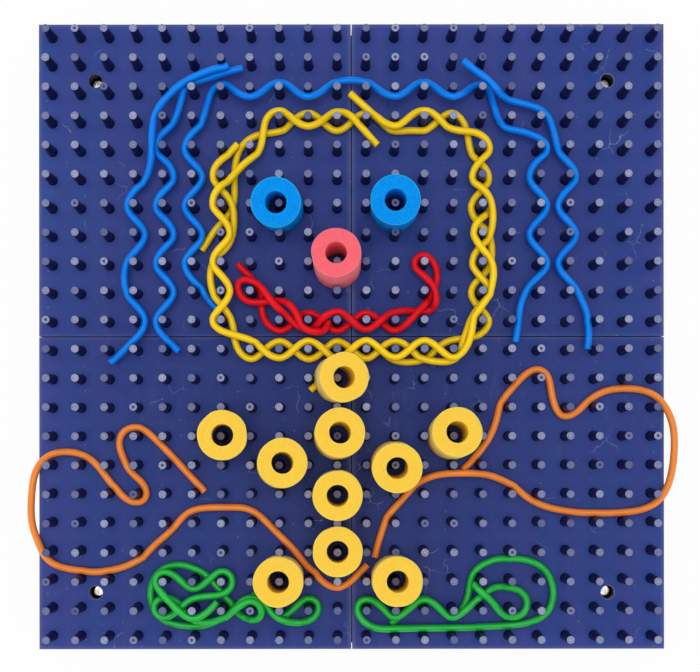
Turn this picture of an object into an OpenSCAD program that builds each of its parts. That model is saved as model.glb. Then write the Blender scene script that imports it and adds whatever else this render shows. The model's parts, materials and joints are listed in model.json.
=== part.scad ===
// Peg weaving board: four moulded panels of pegs on a carrier board, with foam
// rings dropped over some pegs and flexible cords woven round the others.
// Origin at the centre of the underside, +X right, +Y up the picture, +Z out along the pegs.

/* [Panels] */
// Spacing of the pegs
pitch = 27.3; // [26:0.1:34]
// Height of a panel from its foot to its face
panel_h = 22; // [21:0.5:40]
// Thickness of a panel's face
face_t = 3; // [2:0.1:4]
// Thickness of a panel's skirt
skirt_t = 3; // [2:0.1:6]
// Thickness of the ribs under the face
rib_t = 2.4; // [1.5:0.1:4]
// Gap between two panels at a seam
seam_gap = 0.9; // [0.2:0.1:2]

/* [Pegs] */
// Diameter of a peg at its foot
peg_base_d = 9.2; // [8:0.1:11]
// Diameter of a peg at its tip
peg_tip_d = 7.5; // [6:0.1:9]
// Height of a peg above the face
peg_h = 25; // [20:0.5:32]

/* [Cords] */
// Diameter of a cord
cord_d = 6.8; // [5:0.1:7]
// Gap between a cord and the face or the strand below it
cord_gap = 0.6; // [0.4:0.05:1]
// Gap between a cord and the pegs that it bends round
peg_gap = 0.3; // [0.2:0.05:0.6]

/* [Foam rings] */
// Outer diameter of a ring
ring_d = 46; // [36:0.2:48]
// Diameter of a ring's hole
ring_hole_d = 20.2; // [17:0.1:24]
// Height of a ring
ring_h = 48; // [36:1:60]
// Gap between a ring's foot and the face
ring_seat = 0.2; // [0.1:0.05:0.5]
// Room that a ring's foam gives way by round the pegs beside it
foam_gap = 0.5; // [0.4:0.05:1]

/* [Carrier board] */
// Thickness of the carrier board
board_t = 9; // [7:0.5:18]
// Distance of the carrier's edge inside the panels' edge
board_inset = 2; // [0:0.5:20]

/* [Screws] */
// Diameter of the well that a corner screw sits in
well_d = 13; // [11:0.5:16]
// Depth of the well below the face
well_depth = 16; // [12:0.5:18]
// Wall of the tube round a well
well_wall = 2.5; // [1.5:0.1:4]
// Head diameter of a corner screw
head_d = 9; // [7:0.1:10]
// Head height of a corner screw
head_h = 3.4; // [2.5:0.1:5]
// Shank diameter of a corner screw
shank_d = 3.6; // [3:0.1:5]
// Width of the cross cut in a screw's head
cross_w = 1.4; // [1:0.1:2]
// Depth of the cross cut in a screw's head
cross_depth = 1.6; // [0.8:0.1:2]
// Diameter of the posts for the rear screws
post_d = 11; // [9:0.5:16]
// Shank diameter of a rear screw
rear_shank_d = 4; // [3:0.1:5]
// Head diameter of a rear screw
rear_head_d = 7.6; // [6:0.1:9]
// Depth of a rear screw in its post
rear_grip = 12; // [6:0.5:16]
// Clearance round a shank in its hole
shank_gap = 0.1; // [0.05:0.05:0.4]

/* [Hidden] */
pegs_side = 11;
grid_mid = pegs_side - 0.5;
panel_pitch = pegs_side * pitch;
panel_side = panel_pitch - seam_gap;
face_z = board_t + panel_h;
fixing_pitches = 3.5;
fixing_at = fixing_pitches * pitch;
rib_pitches = 2;
ribs_each_side = 2;
rib_gap = 1;
round_steps = 48;
small_steps = 32;
tube_sides = 6;
path_step = 3;
ring_turn = 38;
ring_run = 45;
bend_pull = 1.08;
bend_room = 0.55;
own_run = 3;
dent_room = 1.4;
overcut = 1;
rear_sink = 0.3;
rear_head_h = 2.6;
tip_inset = 2;
corner_reach = panel_h - well_depth + board_t - tip_inset;
cross_span = 5;
collar_level = 1.8;

panels = [
    ["top_left", -1, 1],
    ["top_right", 1, 1],
    ["bottom_left", -1, -1],
    ["bottom_right", 1, -1]
];

// Each ring: name, peg column, peg row, lean of its top along X and Y, colour
blue_foam = [0.04, 0.58, 0.94];
pink_foam = [1, 0.43, 0.47];
yellow_foam = [0.98, 0.8, 0.27];
rings = [
    ["ring_blue_left", 8, 6, -1.6, -5, blue_foam],
    ["ring_blue_right", 12, 6, -1.1, -2.8, blue_foam],
    ["ring_pink", 10, 8, -1, 3.8, pink_foam],
    ["ring_yellow_collar", 10, 12, 6.5, -1, yellow_foam],
    ["ring_yellow_chest", 10, 14, 2.6, 3, yellow_foam],
    ["ring_yellow_waist", 10, 16, 0.2, -0.4, yellow_foam],
    ["ring_yellow_hip", 10, 18, 0.2, 3, yellow_foam],
    ["ring_yellow_left_outer", 6, 14, 4, 0.7, yellow_foam],
    ["ring_yellow_left_inner", 8, 15, 4.5, 2.7, yellow_foam],
    ["ring_yellow_right_inner", 12, 15, 0.3, -2.5, yellow_foam],
    ["ring_yellow_right_outer", 14, 14, 0.6, 3.4, yellow_foam],
    ["ring_yellow_left_low", 8, 19, 0.2, 2.6, yellow_foam],
    ["ring_yellow_right_low", 12, 19, 0.6, 3, yellow_foam]
];
collar = rings[3];

// A route's points, in peg columns and rows from the top left: [column, row, level] lies
// free, and [column, row, level, angle, reach] bends round that peg, on the side that the
// angle gives. Level 0 lies on the face, and each whole level is one cord higher.
blue_outer_left_route = [
    [6.22, 1.17, 2], [5.75, 1.33, 2], [5.3, 1.5, 2], [4.9, 1.7, 2], [4.5, 1.93, 2], [4.05, 2.4, 2],
    [3.8, 2.72, 2], [4, 3, 2, 176, 1], [3.63, 3.35, 2], [3.6, 3.75, 1.9], [3.59, 4.05, 1.8],
    [3.55, 4.4, 1.5], [3.5, 4.7, 1.2], [3, 5, 0.9, 5, 1.1], [3, 6, 0.9, 180, 1], [3, 7, 0.9, 5, 1],
    [3, 8, 0.9, 172, 1.1], [2.6, 8.45, 0.9], [3, 9, 0.9, 188, 1.05], [3, 10, 0.9, 0, 1],
    [2.75, 10.85, 0.9], [2.1, 11.45, 0.9]
];
blue_inner_left_route = [
    [6.73, 1.2, 0.9], [6.25, 1.3, 0.9], [5.8, 1.45, 0.9], [5.35, 1.6, 0.9], [5, 2, 0.9, 75, 1],
    [5, 2, 0.9, 130, 1], [5, 2, 0.9, 175, 1.02], [4.56, 2.4, 0.9], [4.44, 2.78, 0.9],
    [4, 3, 0.9, 340, 1.03], [4.08, 3.36, 0.9], [3.86, 3.52, 0.9], [4, 4, 0.9, 166, 1],
    [4, 5, 0.9, 15, 1], [4, 6, 0.9, 170, 1], [4, 7, 0.9, 15, 1], [4, 8, 0.9, 175, 1],
    [4, 9, 0.9, 5, 1], [4, 10, 0.9, 180, 1], [4, 11, 0.9, 60, 1.05], [4.5, 11.05, 0.9]
];
blue_arch_route = [
    [5.9, 9.65, 0], [5.55, 9.3, 0], [5, 9, 0.4, 10, 1], [5, 8, 0.9, 180, 1], [5, 7, 0.9, 0, 1],
    [5, 6, 0.9, 180, 1], [5, 5, 0.9, 0, 1], [5, 4, 0.9, 180, 1], [5, 3, 0.9, 0, 1], [5.55, 2.2, 0.5],
    [6, 2, 0.2, 110, 1.05], [7, 2, 2, 270, 1], [8, 2, 1, 90, 1], [9, 2, 2, 270, 1],
    [10, 2, 0.9, 90, 1], [11, 2, 0.9, 90, 1], [12, 2, 2.1, 270, 1], [13, 2, 1, 90, 1],
    [14, 2, 2, 270, 1], [15, 2, 0.1, 100, 1], [15, 2, 0.1, 10, 1.05], [15.55, 2.75, 0.6],
    [16, 3, 0.9, 245, 1], [16.45, 3.4, 0.9], [17, 4, 0.9, 85, 1.1], [17, 4, 0.9, 25, 1],
    [17, 5, 0.9, 180, 1], [17, 6, 0.9, 0, 1], [17, 7, 0.9, 180, 1], [17, 8, 0.9, 0, 1],
    [16.75, 8.7, 0.9], [16.4, 9.35, 0.9], [16, 10, 0.9, 0, 1.05], [16.2, 10.75, 0.9]
];
blue_right_route = [
    [14.35, 1.05, 2], [14.65, 1.3, 2], [15, 1.55, 2], [15.25, 1.75, 2], [15.5, 2, 1.9],
    [15.7, 2.2, 1.5], [16, 2, 0.9, 262, 1], [16.5, 2.45, 0.9], [17, 3, 0.9, 88, 1.3],
    [17, 3, 0.9, 25, 1.15], [17.55, 3.45, 0.9], [18, 4, 0.9, 215, 1], [18, 5, 0.9, 20, 1],
    [18, 6, 0.9, 180, 1], [18, 7, 0.9, 0, 1], [18, 8, 0.9, 180, 1], [18, 9, 0.9, 35, 1.08],
    [18.55, 9.4, 0.9], [18.75, 10, 1], [19, 11, 1.2, 180, 1.05]
];
orange_left_route = [
    [11.05, 18.5, 0], [10.55, 19, 0], [10, 19, 0, 275, 1], [9.5, 19.1, 0], [9, 19, 0, 80, 1],
    [8.57, 18.08, 0], [8.05, 17.55, 0], [7.5, 17, 0], [6.9, 16.55, 0], [6.2, 16.5, 0], [5.55, 16.5, 0],
    [4.8, 16.65, 0], [4, 17, 0, 315, 1.1], [3.55, 17.85, 0], [3, 18, 0, 268, 1.1], [2.25, 18.65, 0],
    [1.35, 18.75, 0], [0.45, 18.6, 0], [-0.1, 18.35, 0], [-0.45, 17.75, 0], [-0.7, 17, 0],
    [-0.7, 16, 0], [-0.55, 15.2, 0], [-0.15, 14.7, 0], [0.45, 14.55, 0], [1.2, 14.7, 0],
    [1.75, 15.2, 0], [2.05, 15.65, 0], [2.5, 16.1, 0], [3, 16, 0, 255, 1.1], [3, 16, 0, 345, 1],
    [3.2, 15.65, 0], [3, 15, 0, 225, 1.15], [2.5, 14.7, 0], [2.35, 14.2, 0], [2.55, 13.8, 0],
    [3, 14, 0, 92, 1], [3.45, 13.95, 0], [4.4, 14.9, 0], [5.35, 15.95, 0]
];
orange_right_route = [
    [11.3, 18.25, 0], [11.5, 17.5, 0], [12, 17, 0, 117, 1.05], [12.3, 16.2, 0], [12.75, 15.7, 0],
    [13.35, 15.4, 0.4], [14, 15, 1, 268, 1], [14.4, 15.3, 1.1], [14.8, 15.3, 1], [15.4, 15.4, 0.3],
    [16, 16, 0, 85, 1], [16.5, 16.05, 0], [17.1, 16.4, 0], [17.85, 16.6, 0], [18.75, 16.7, 0],
    [20, 17, 0, 98, 1.05], [20.75, 16.55, 0], [21.3, 16.2, 0], [21.65, 15.5, 0], [21.8, 14.35, 0],
    [21.7, 13.45, 0], [21.3, 12.75, 0], [20.85, 12.45, 0], [20.15, 12.35, 0], [19.5, 12.4, 0],
    [18.95, 12.65, 0], [18.45, 13.1, 0], [18, 13, 0, 287, 1], [18, 13, 0, 190, 1], [17.5, 12.5, 0],
    [17.35, 11.85, 0], [17, 12, 0, 90, 1.15], [16.6, 11.85, 0], [16.2, 12.25, 0], [16, 13, 0, 150, 1],
    [15.65, 13.15, 0], [15.45, 13.8, 0], [15.05, 14.45, 0], [14.7, 14.9, 0], [14.38, 15.2, 0]
];
yellow_low_route = [
    [5.25, 7.5, 0], [5.55, 7.05, 0], [5.75, 6.75, 0], [6.1, 6.35, 0], [6, 6, 0, 5, 1], [6.4, 5.7, 0],
    [6.4, 5.05, 0], [6.45, 4.45, 0], [6.55, 4.05, 0], [6.7, 3.8, 0], [6.95, 3.6, 0], [7.2, 3.45, 0],
    [7.55, 3.4, 0], [8, 3, 0, 270, 1], [9, 3, 0, 90, 1], [10, 3, 0, 270, 1], [11, 3, 0, 90, 1],
    [12, 3, 0, 270, 1], [12.6, 3.26, 0], [13, 3, 0, 272, 1], [14, 3, 0, 85, 1.08], [14.3, 2.9, 0],
    [14.5, 3.15, 0], [14.6, 3.6, 0], [15, 4, 0, 190, 1], [15, 5, 0, 15, 1], [15, 6, 0, 180, 1],
    [15, 7, 0, 345, 1.15], [15.4, 7.6, 0], [15, 8, 0, 340, 1.1], [15, 9, 0, 170, 1],
    [15, 10, 0, 10, 1], [15, 10, 0, 320, 1], [14.9, 10.5, 0], [14.35, 10.6, 0], [14, 11, 0, 95, 1.15],
    [13.5, 10.9, 0], [13, 11, 0, 325, 1.05], [13, 11, 0, 268, 1.05], [12.55, 11.4, 0],
    [12, 11, 0, 268, 1.12], [11.55, 11, 0], [11, 11, 0, 90, 1], [10.6, 10.9, 0], [10, 11, 0, 290, 1.2],
    [9.55, 11.95, 0], [9.05, 12.4, 0]
];
yellow_mid_route = [
    [6.55, 3.85, 1], [6.25, 4.1, 1], [5.95, 4.4, 1], [5.7, 4.75, 1], [6, 5, 1, 185, 1], [5.9, 5.35, 1],
    [6.15, 5.6, 1], [6, 6, 1, 345, 1.35], [6.4, 6.45, 1], [6.4, 6.8, 1], [6, 7, 1, 340, 1.1],
    [6.15, 7.5, 1], [6, 8, 1, 125, 1.05], [5.6, 8.25, 1], [5.6, 8.5, 1], [5.65, 8.85, 1],
    [5.9, 9.3, 1], [6.1, 9.6, 0.9], [6, 10, 0.7, 5, 1], [6.4, 10.3, 0.6], [6.4, 10.5, 0.6],
    [6.45, 10.75, 0.6], [6.6, 11.05, 0.6], [7, 11, 0.6, 270, 1], [8, 11, 0.6, 90, 1],
    [9, 11, 0.3, 270, 1], [10, 11, 0.3, 90, 1], [10.5, 11, 1.15], [11, 11, 1.05, 270, 1],
    [12, 11, 1, 90, 1], [13, 11, 1, 270, 1], [13.5, 11.4, 1], [14, 11, 1, 282, 1.2],
    [14, 11, 1, 28, 1.05], [14.5, 10.4, 1], [15, 10, 1, 175, 1.25], [14.9, 9.55, 1],
    [15, 9, 1, 25, 1.1], [15.05, 8.55, 1], [15, 8, 1, 175, 1], [15, 7.35, 1], [15, 7, 1, 20, 1.2],
    [15.4, 6.35, 1.3], [15, 6, 1.3, 10, 1.2], [15.15, 5.45, 1.15], [15, 5, 1, 160, 1],
    [15, 4, 1, 5, 1.05], [15, 4, 1, 60, 1.15], [14.85, 3.45, 1], [14.35, 3.4, 1],
    [14, 3, 1, 262, 1.05], [13, 3, 1, 85, 1.1], [12, 3, 1.9, 270, 1], [11.5, 3, 1.3],
    [11, 3, 1, 45, 1.05], [10.45, 2.08, 1]
];
yellow_top_route = [
    [11.4, 3.9, 1.1], [11.05, 3.5, 1.1], [11, 3, 1.1, 220, 1], [10.5, 2.9, 1.1], [10, 3, 0.6, 90, 1],
    [9, 3, 1.8, 270, 1], [8, 3, 1.1, 90, 1], [7.55, 2.95, 1.1], [7.45, 3.4, 1.1], [7.4, 3.7, 1.1],
    [7, 4, 1.2, 325, 1.05], [7, 4.35, 1.3], [6.6, 4.75, 1.5], [6, 5, 1.7, 340, 1.1], [5.95, 5.4, 2.15],
    [6, 6, 2, 170, 1], [6, 7, 2, 5, 1], [6, 8, 2, 165, 1], [6, 9, 2, 5, 1], [6, 10, 2, 172, 1],
    [6, 10, 2, 225, 1.05], [6.1, 10.4, 1.8], [6.45, 10.5, 1.7], [6.75, 10.6, 1.6], [7, 11, 1.6, 85, 1],
    [8, 11, 1.6, 270, 1], [9, 11, 1.5, 90, 1], [10, 11, 1.2, 270, 1], [10.5, 11, 2.25],
    [11, 11, 2.1, 90, 1], [12, 11, 2.1, 270, 1], [13, 11, 2, 90, 1], [14, 11, 2, 270, 1],
    [14.4, 11, 2], [14.6, 10.6, 2], [15, 10, 2, 200, 1.1], [15.1, 9.3, 2], [15.3, 8.85, 2],
    [15.4, 8.35, 2], [15, 8, 2, 10, 1.1], [14.9, 7.4, 2], [15, 7, 2, 165, 1], [14.85, 6.6, 1.9],
    [15.1, 6.38, 1.05], [15.28, 6.22, 0.15], [15.38, 6.05, 0]
];
red_band_route = [
    [6.53, 7.99, 0.3], [6.87, 8.35, 0.25], [7.17, 8.67, 0], [7, 9, 0, 5, 1.1], [7.35, 9.45, 0],
    [7.4, 9.8, 0], [7.55, 10.05, 0.1], [8, 10, 0.2, 270, 1], [8.35, 10.15, 0], [8.75, 9.7, 0],
    [9, 10, 0.2, 90, 1.05], [9.4, 9.85, 0], [10, 10, 0.1, 270, 1], [10.5, 10, 0], [11, 10, 0.2, 90, 1],
    [11.5, 9.95, 0], [12, 10, 0.4, 270, 1], [12.45, 10.05, 0.95], [12.8, 9.7, 1.2], [13, 9.45, 1],
    [13, 9, 0.05, 318, 1], [13, 9, 0, 0, 1], [13.45, 8.7, 0], [13.5, 8.35, 0], [13.4, 8, 0.3],
    [13, 8, 0.6, 80, 1], [13, 8, 0.8, 170, 1], [13.1, 8.5, 1], [13.35, 8.8, 1], [13.4, 9.1, 1.1],
    [13.45, 9.35, 1], [13.3, 9.6, 0.15], [13, 9.65, 0], [12.6, 9.6, 0], [12.2, 9.65, 0.35],
    [12, 10, 0.8, 105, 1], [11.55, 9.95, 1.3], [11, 10, 1.3, 270, 1], [10.5, 10, 1.6],
    [10, 10, 2.05, 90, 1], [9.55, 9.9, 2.1], [9.3, 10.05, 1.35], [9.1, 10.2, 0.9],
    [9, 10, 0.9, 250, 1], [8.6, 10.15, 1], [8.3, 9.85, 1.2], [7.95, 9.6, 1.9], [7.7, 9.3, 2.2],
    [7.45, 8.95, 2.1], [7.1, 8.65, 1.5], [6.75, 8.55, 1.2], [6.5, 8.75, 1], [6.65, 9.1, 1],
    [6.85, 9.3, 1], [7.15, 9.35, 1], [7.65, 9.3, 0.95], [8, 9, 0.95, 240, 1], [8.1, 9.3, 1.3],
    [8.4, 9.5, 1.8], [8.65, 9.85, 2], [9, 10, 2, 240, 1.05], [9.25, 10.4, 2.1], [9.55, 10.35, 1.3],
    [9.7, 10.1, 1.05], [9.7, 9.95, 1.05]
];
green_left_route = [
    [5.85, 19.75, 1.7], [5.65, 19.95, 1.7], [5.4, 20.15, 1.85], [5, 20, 2, 290, 1], [4.8, 20.2, 2.05],
    [4.5, 20, 2.15], [4.2, 19.7, 2.1], [3.9, 19.35, 2], [4, 19, 1.8, 190, 1.05],
    [4, 19, 1.65, 130, 1.05], [4, 19, 1.5, 80, 1.1], [4.5, 18.95, 1.2], [5, 19, 1, 268, 1],
    [6, 19, 1, 90, 1], [6.3, 18.85, 1], [6.35, 19.1, 1], [6.25, 19.35, 1], [6, 19.5, 1],
    [5.6, 19.55, 1], [5.15, 19.6, 1], [4.85, 19.7, 1.05], [4.6, 19.9, 1.1], [4.45, 20.05, 1.1],
    [4.25, 20.2, 1], [4, 20, 1, 265, 1.05], [3.7, 20.2, 1], [3.6, 19.9, 1], [3.7, 19.7, 1],
    [3.85, 19.65, 0.8], [4.15, 19.65, 0.2], [4.35, 19.75, 0], [4.5, 19.9, 0], [4.75, 20.25, 0.2],
    [5.15, 20.45, 1], [5.6, 20.45, 1.1], [5.95, 20.3, 1.5], [6.3, 20.1, 2.1], [6.5, 19.95, 2.25],
    [6.75, 19.8, 2.1], [7, 20, 2, 88, 1], [7, 20, 2, 30, 1.15], [7.4, 20.05, 1.9], [7.3, 20.3, 1.4],
    [7.1, 20.4, 1], [6.8, 20.35, 0.3], [6.5, 20.2, 0], [6, 20, 0, 15, 1.05], [6.1, 19.7, 0],
    [5.85, 19.35, 0], [5.65, 19.15, 0], [5.5, 18.9, 0], [5.2, 18.75, 0], [4.9, 18.6, 0],
    [4.45, 18.5, 0], [4, 18.6, 0], [3.7, 18.8, 0], [3.5, 19.2, 0], [3.45, 19.5, 0], [3.5, 19.85, 0],
    [3.6, 20.05, 0], [3.75, 20.3, 0], [4.05, 20.5, 0], [4.45, 20.6, 0], [5, 20.65, 0], [5.45, 20.6, 0],
    [5.7, 20.5, 0.05], [5.95, 20.35, 0.35], [6.3, 20.15, 0.95], [6.5, 19.95, 1.15], [6.75, 19.65, 1],
    [6.95, 19.6, 1], [7.15, 19.65, 1.05], [7.4, 19.8, 1.05], [7.65, 20.05, 0.95], [7.8, 20.25, 1],
    [8.1, 20.4, 1.05], [8.6, 20.5, 0.6], [9.1, 20.4, 0.2], [9.35, 20.05, 0], [9.25, 19.75, 0],
    [9, 20, 0, 88, 1], [8.75, 19.8, 0], [8.45, 20.05, 0], [8, 20, 0, 300, 1.05], [8, 20, 0, 222, 1.05],
    [7.5, 19.95, 0], [7, 19.5, 0]
];
green_right_route = [
    [14.7, 19.1, 1.5], [14.85, 19.3, 1.9], [15.1, 19.5, 2.1], [15.45, 19.85, 1.45],
    [16, 20, 0.8, 230, 1.05], [16.2, 20.3, 0.5], [16.45, 20.25, 0.4], [16.6, 20, 0.3],
    [16.6, 19.65, 0.3], [16.35, 19.4, 0.3], [16, 19, 0.4, 263, 1], [15.6, 19.25, 0.6],
    [15.2, 19.4, 0.9], [15.05, 19.55, 0.9], [14.85, 19.7, 1], [14.55, 19.95, 1], [14.3, 20.15, 1],
    [14, 20, 1, 280, 1], [13.7, 20.1, 1], [13, 20, 1, 80, 1.1], [12.7, 19.85, 1], [12.3, 20.15, 1],
    [12, 20, 1, 272, 1], [11.7, 20.05, 1], [11, 20, 0.8, 82, 1.15], [10.85, 19.7, 0.8],
    [11, 20, 0.8, 178, 1.05], [10.75, 20.25, 0.8], [11.05, 20.55, 0.9], [11.45, 20.7, 1],
    [11.8, 20.7, 1], [13.05, 20.7, 0.6], [14.3, 20.7, 0.3], [15.7, 20.65, 0], [16.3, 20.6, 0],
    [16.8, 20.5, 0], [17.2, 20.3, 0], [17.45, 20, 0], [17.55, 19.5, 0], [17.45, 19, 0],
    [17.15, 18.6, 0], [16.65, 18.35, 0], [16.15, 18.3, 0], [15.65, 18.3, 0], [15.1, 18.5, 0],
    [14.8, 18.75, 0], [14.65, 19.1, 0], [14.6, 19.5, 0], [14.5, 19.8, 0], [14.35, 20.05, 0],
    [14, 20, 0, 275, 1], [13, 20, 0, 88, 1], [12.35, 20.15, 0], [12.1, 20.4, 0], [11.85, 20.55, 0]
];

// Each cord: name, colour, route
blue_cord = [0, 0.43, 0.9];
yellow_cord = [0.98, 0.82, 0.08];
red_cord = [0.86, 0.12, 0.14];
orange_cord = [0.94, 0.51, 0.2];
green_cord = [0.16, 0.67, 0.24];
cords = [
    ["cord_blue_outer_left", blue_cord, blue_outer_left_route],
    ["cord_blue_inner_left", blue_cord, blue_inner_left_route],
    ["cord_blue_arch", blue_cord, blue_arch_route],
    ["cord_blue_right", blue_cord, blue_right_route],
    ["cord_yellow_low", yellow_cord, yellow_low_route],
    ["cord_yellow_mid", yellow_cord, yellow_mid_route],
    ["cord_yellow_top", yellow_cord, yellow_top_route],
    ["cord_red", red_cord, red_band_route],
    ["cord_orange_left", orange_cord, orange_left_route],
    ["cord_orange_right", orange_cord, orange_right_route],
    ["cord_green_left", green_cord, green_left_route],
    ["cord_green_right", green_cord, green_right_route]
];

// Places on the board
function peg_at(column, row) = [(column - grid_mid) * pitch, (grid_mid - row) * pitch];
function panel_centre(p) = [p[1] * panel_pitch / 2, p[2] * panel_pitch / 2, 0];
function corner_fixing(p) = panel_centre(p) + [p[1] * fixing_at, p[2] * fixing_at, 0];
function rear_fixings(p) = [
    for (x = [-1, 1], y = [-1, 1]) if (x != p[1] || y != p[2])
        panel_centre(p) + [x * fixing_at, y * fixing_at, 0]
];

// A cord's height, and how far its centre keeps from a peg's axis
function level_z(level) = cord_gap + cord_d / 2 + level * (cord_d + cord_gap);
function peg_r(z) = (peg_base_d + (peg_tip_d - peg_base_d) * min(max(z / peg_h, 0), 1)) / 2;
function reach(z) = peg_r(z - cord_d / 2) + cord_d / 2 + peg_gap + bend_room;
function place(p) = let(
    z = level_z(p[2]),
    off = len(p) > 3 ? reach(z) * p[4] * [cos(p[3]), sin(p[3])] : [0, 0],
    xy = peg_at(p[0], p[1]) + off
) [xy[0], xy[1], z];

// A smooth line through a route's points: level runs in plan, eased climbs in height
function flat(p) = [p[0], p[1]];
function unit(v) = v / norm(v);
function heading(q, i) = unit(flat(q[min(i + 1, len(q) - 1)]) - flat(q[max(i - 1, 0)]));
function between(a, b, ha, hb, t) = let(
    pull = bend_pull * norm(flat(b) - flat(a)),
    ease = t * t * (3 - 2 * t),
    xy = (1 - ease) * flat(a) + ease * flat(b)
        + pull * t * (1 - t) * ((1 - t) * ha - t * hb)
) [xy[0], xy[1], a[2] + (b[2] - a[2]) * ease];
function line_of(q) = [
    for (i = [0 : len(q) - 2])
        let(n = max(1, ceil(norm(flat(q[i + 1]) - flat(q[i])) / path_step)))
        for (k = [0 : n - 1])
            between(q[i], q[i + 1], heading(q, i), heading(q, i + 1), k / n),
    q[len(q) - 1]
];

// The line is drawn tight and kept clear of the nearest peg, twice over
function near_peg(p) = let(
    column = min(max(round(p[0] / pitch + grid_mid), 0), 2 * pegs_side - 1),
    row = min(max(round(grid_mid - p[1] / pitch), 0), 2 * pegs_side - 1)
) peg_at(column, row);
function clear_of_peg(p) = let(
    peg = near_peg(p),
    d = norm(flat(p) - peg),
    need = reach(p[2]),
    xy = d < need ? peg + (flat(p) - peg) * need / d : flat(p)
) [xy[0], xy[1], p[2]];
function cleared(line) = [for (p = line) clear_of_peg(p)];
function drawn(line) = [
    for (i = [0 : len(line) - 1])
        i == 0 || i == len(line) - 1
            ? line[i]
            : (line[i - 1] + 2 * line[i] + line[i + 1]) / 4
];
function path_of(route) = cleared(drawn(cleared(drawn(cleared(line_of([for (p = route) place(p)]))))));

// Rings of the tube: one for each set turn or run along the path
function turn(path, i) = let(
    a = unit(path[i] - path[i - 1]),
    b = unit(path[min(i + 1, len(path) - 1)] - path[min(i, len(path) - 2)])
) acos(min(max(a * b, -1), 1));
function progress(path) = [
    for (
        i = 0, s = 0;
        i < len(path);
        i = i + 1,
        s = i < len(path) ? s + turn(path, i) / ring_turn + norm(path[i] - path[i - 1]) / ring_run : s
    ) s
];
function stations(path) = let(s = progress(path), last = len(path) - 1) [
    for (i = [0 : last])
        if (i == 0 || i == last || (floor(s[i]) != floor(s[i - 1]) && i < last - 1)) path[i]
];
function run_at(q, i) = unit(q[min(i + 1, len(q) - 1)] - q[max(i - 1, 0)]);
function tube_ring(q, i) = let(
    along = run_at(q, i),
    side = unit(cross(along, [0, 0, 1])),
    up = cross(side, along)
) [
    for (k = [0 : tube_sides - 1])
        let(a = 90 + 360 * k / tube_sides)
        q[i] + cord_d / 2 * (cos(a) * side + sin(a) * up)
];
function tube_sides_faces(count) = [
    for (i = [0 : count - 2], k = [0 : tube_sides - 1])
        let(
            a = i * tube_sides + k,
            b = i * tube_sides + (k + 1) % tube_sides
        )
        each [[a, b, b + tube_sides], [a, b + tube_sides, a + tube_sides]]
];
function tube_end_faces(count) = let(end = (count - 1) * tube_sides) [
    for (k = [1 : tube_sides - 2])
        each [[0, k + 1, k], [end, end + k, end + k + 1]]
];

// Least gap between strands of one cord, on points a few diameters apart along it
function least(values) = len(values) == 0 ? undef : min(values);
function own_gap(path) = let(skip = ceil(own_run * cord_d / path_step)) least([
    for (i = [0 : len(path) - 1])
        for (j = [i + skip : 1 : len(path) - 1])
            norm(path[i] - path[j]) - cord_d
]);

module cord(c) {
    path = path_of(c[2]);
    q = stations(path);
    echo(str(c[0], " least gap to itself ", own_gap(path), " mm, rings ", len(q)));
    color(c[1])
    translate([0, 0, face_z])
    polyhedron(
        points = [for (i = [0 : len(q) - 1]) each tube_ring(q, i)],
        faces = concat(tube_sides_faces(len(q)), tube_end_faces(len(q)))
    );
}

// A hole of one depth up from the plane that it starts on
module hole(at, depth, d) {
    translate(at - [0, 0, overcut])
        cylinder(h = depth + overcut, d = d, $fn = small_steps);
}

module back_board() {
    size = 2 * panel_pitch - seam_gap - 2 * board_inset;
    color([0.76, 0.62, 0.42])
    difference() {
        translate([-size / 2, -size / 2, 0])
            cube([size, size, board_t]);
        for (p = panels) {
            hole(corner_fixing(p), board_t + overcut, shank_d + 2 * shank_gap);
            for (f = rear_fixings(p)) {
                hole(f, board_t + overcut, rear_shank_d + 2 * shank_gap);
                hole(f, rear_head_h + rear_sink, rear_head_d + 2 * shank_gap);
            }
        }
    }
}

module panel(p) {
    post_top = panel_h - face_t;
    inner = panel_side - 2 * skirt_t;
    well = [p[1] * fixing_at, p[2] * fixing_at, 0];
    color([0.2, 0.22, 0.45])
    translate(panel_centre(p) + [0, 0, board_t])
    difference() {
        union() {
            difference() {
                translate([-panel_side / 2, -panel_side / 2, 0])
                    cube([panel_side, panel_side, panel_h]);
                translate([-inner / 2, -inner / 2, -overcut])
                    cube([inner, inner, post_top + overcut]);
            }
            for (k = [-ribs_each_side : ribs_each_side], across = [0, 90])
                rotate(across)
                translate([k * rib_pitches * pitch - rib_t / 2, -(inner + skirt_t) / 2, rib_gap])
                    cube([rib_t, inner + skirt_t, panel_h - rib_gap - face_t / 2]);
            translate(well)
                cylinder(h = panel_h, d = well_d + 2 * well_wall, $fn = round_steps);
            for (f = rear_fixings(p))
                translate(f - panel_centre(p))
                    cylinder(h = panel_h - face_t / 2, d = post_d, $fn = round_steps);
        }
        translate(well + [0, 0, panel_h - well_depth])
            cylinder(h = well_depth + overcut, d = well_d, $fn = round_steps);
        hole(well, panel_h - overcut, shank_d + 2 * shank_gap);
        for (f = rear_fixings(p))
            hole(f - panel_centre(p), rear_grip + shank_gap, rear_shank_d + 2 * shank_gap);
    }
}

module pegs(p) {
    color([0.24, 0.26, 0.5])
    translate(panel_centre(p) + [0, 0, face_z])
    for (column = [0 : pegs_side - 1], row = [0 : pegs_side - 1])
        translate([(column - (pegs_side - 1) / 2) * pitch, (row - (pegs_side - 1) / 2) * pitch, 0])
            cylinder(h = peg_h, d1 = peg_base_d, d2 = peg_tip_d, $fn = round_steps);
}

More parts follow.
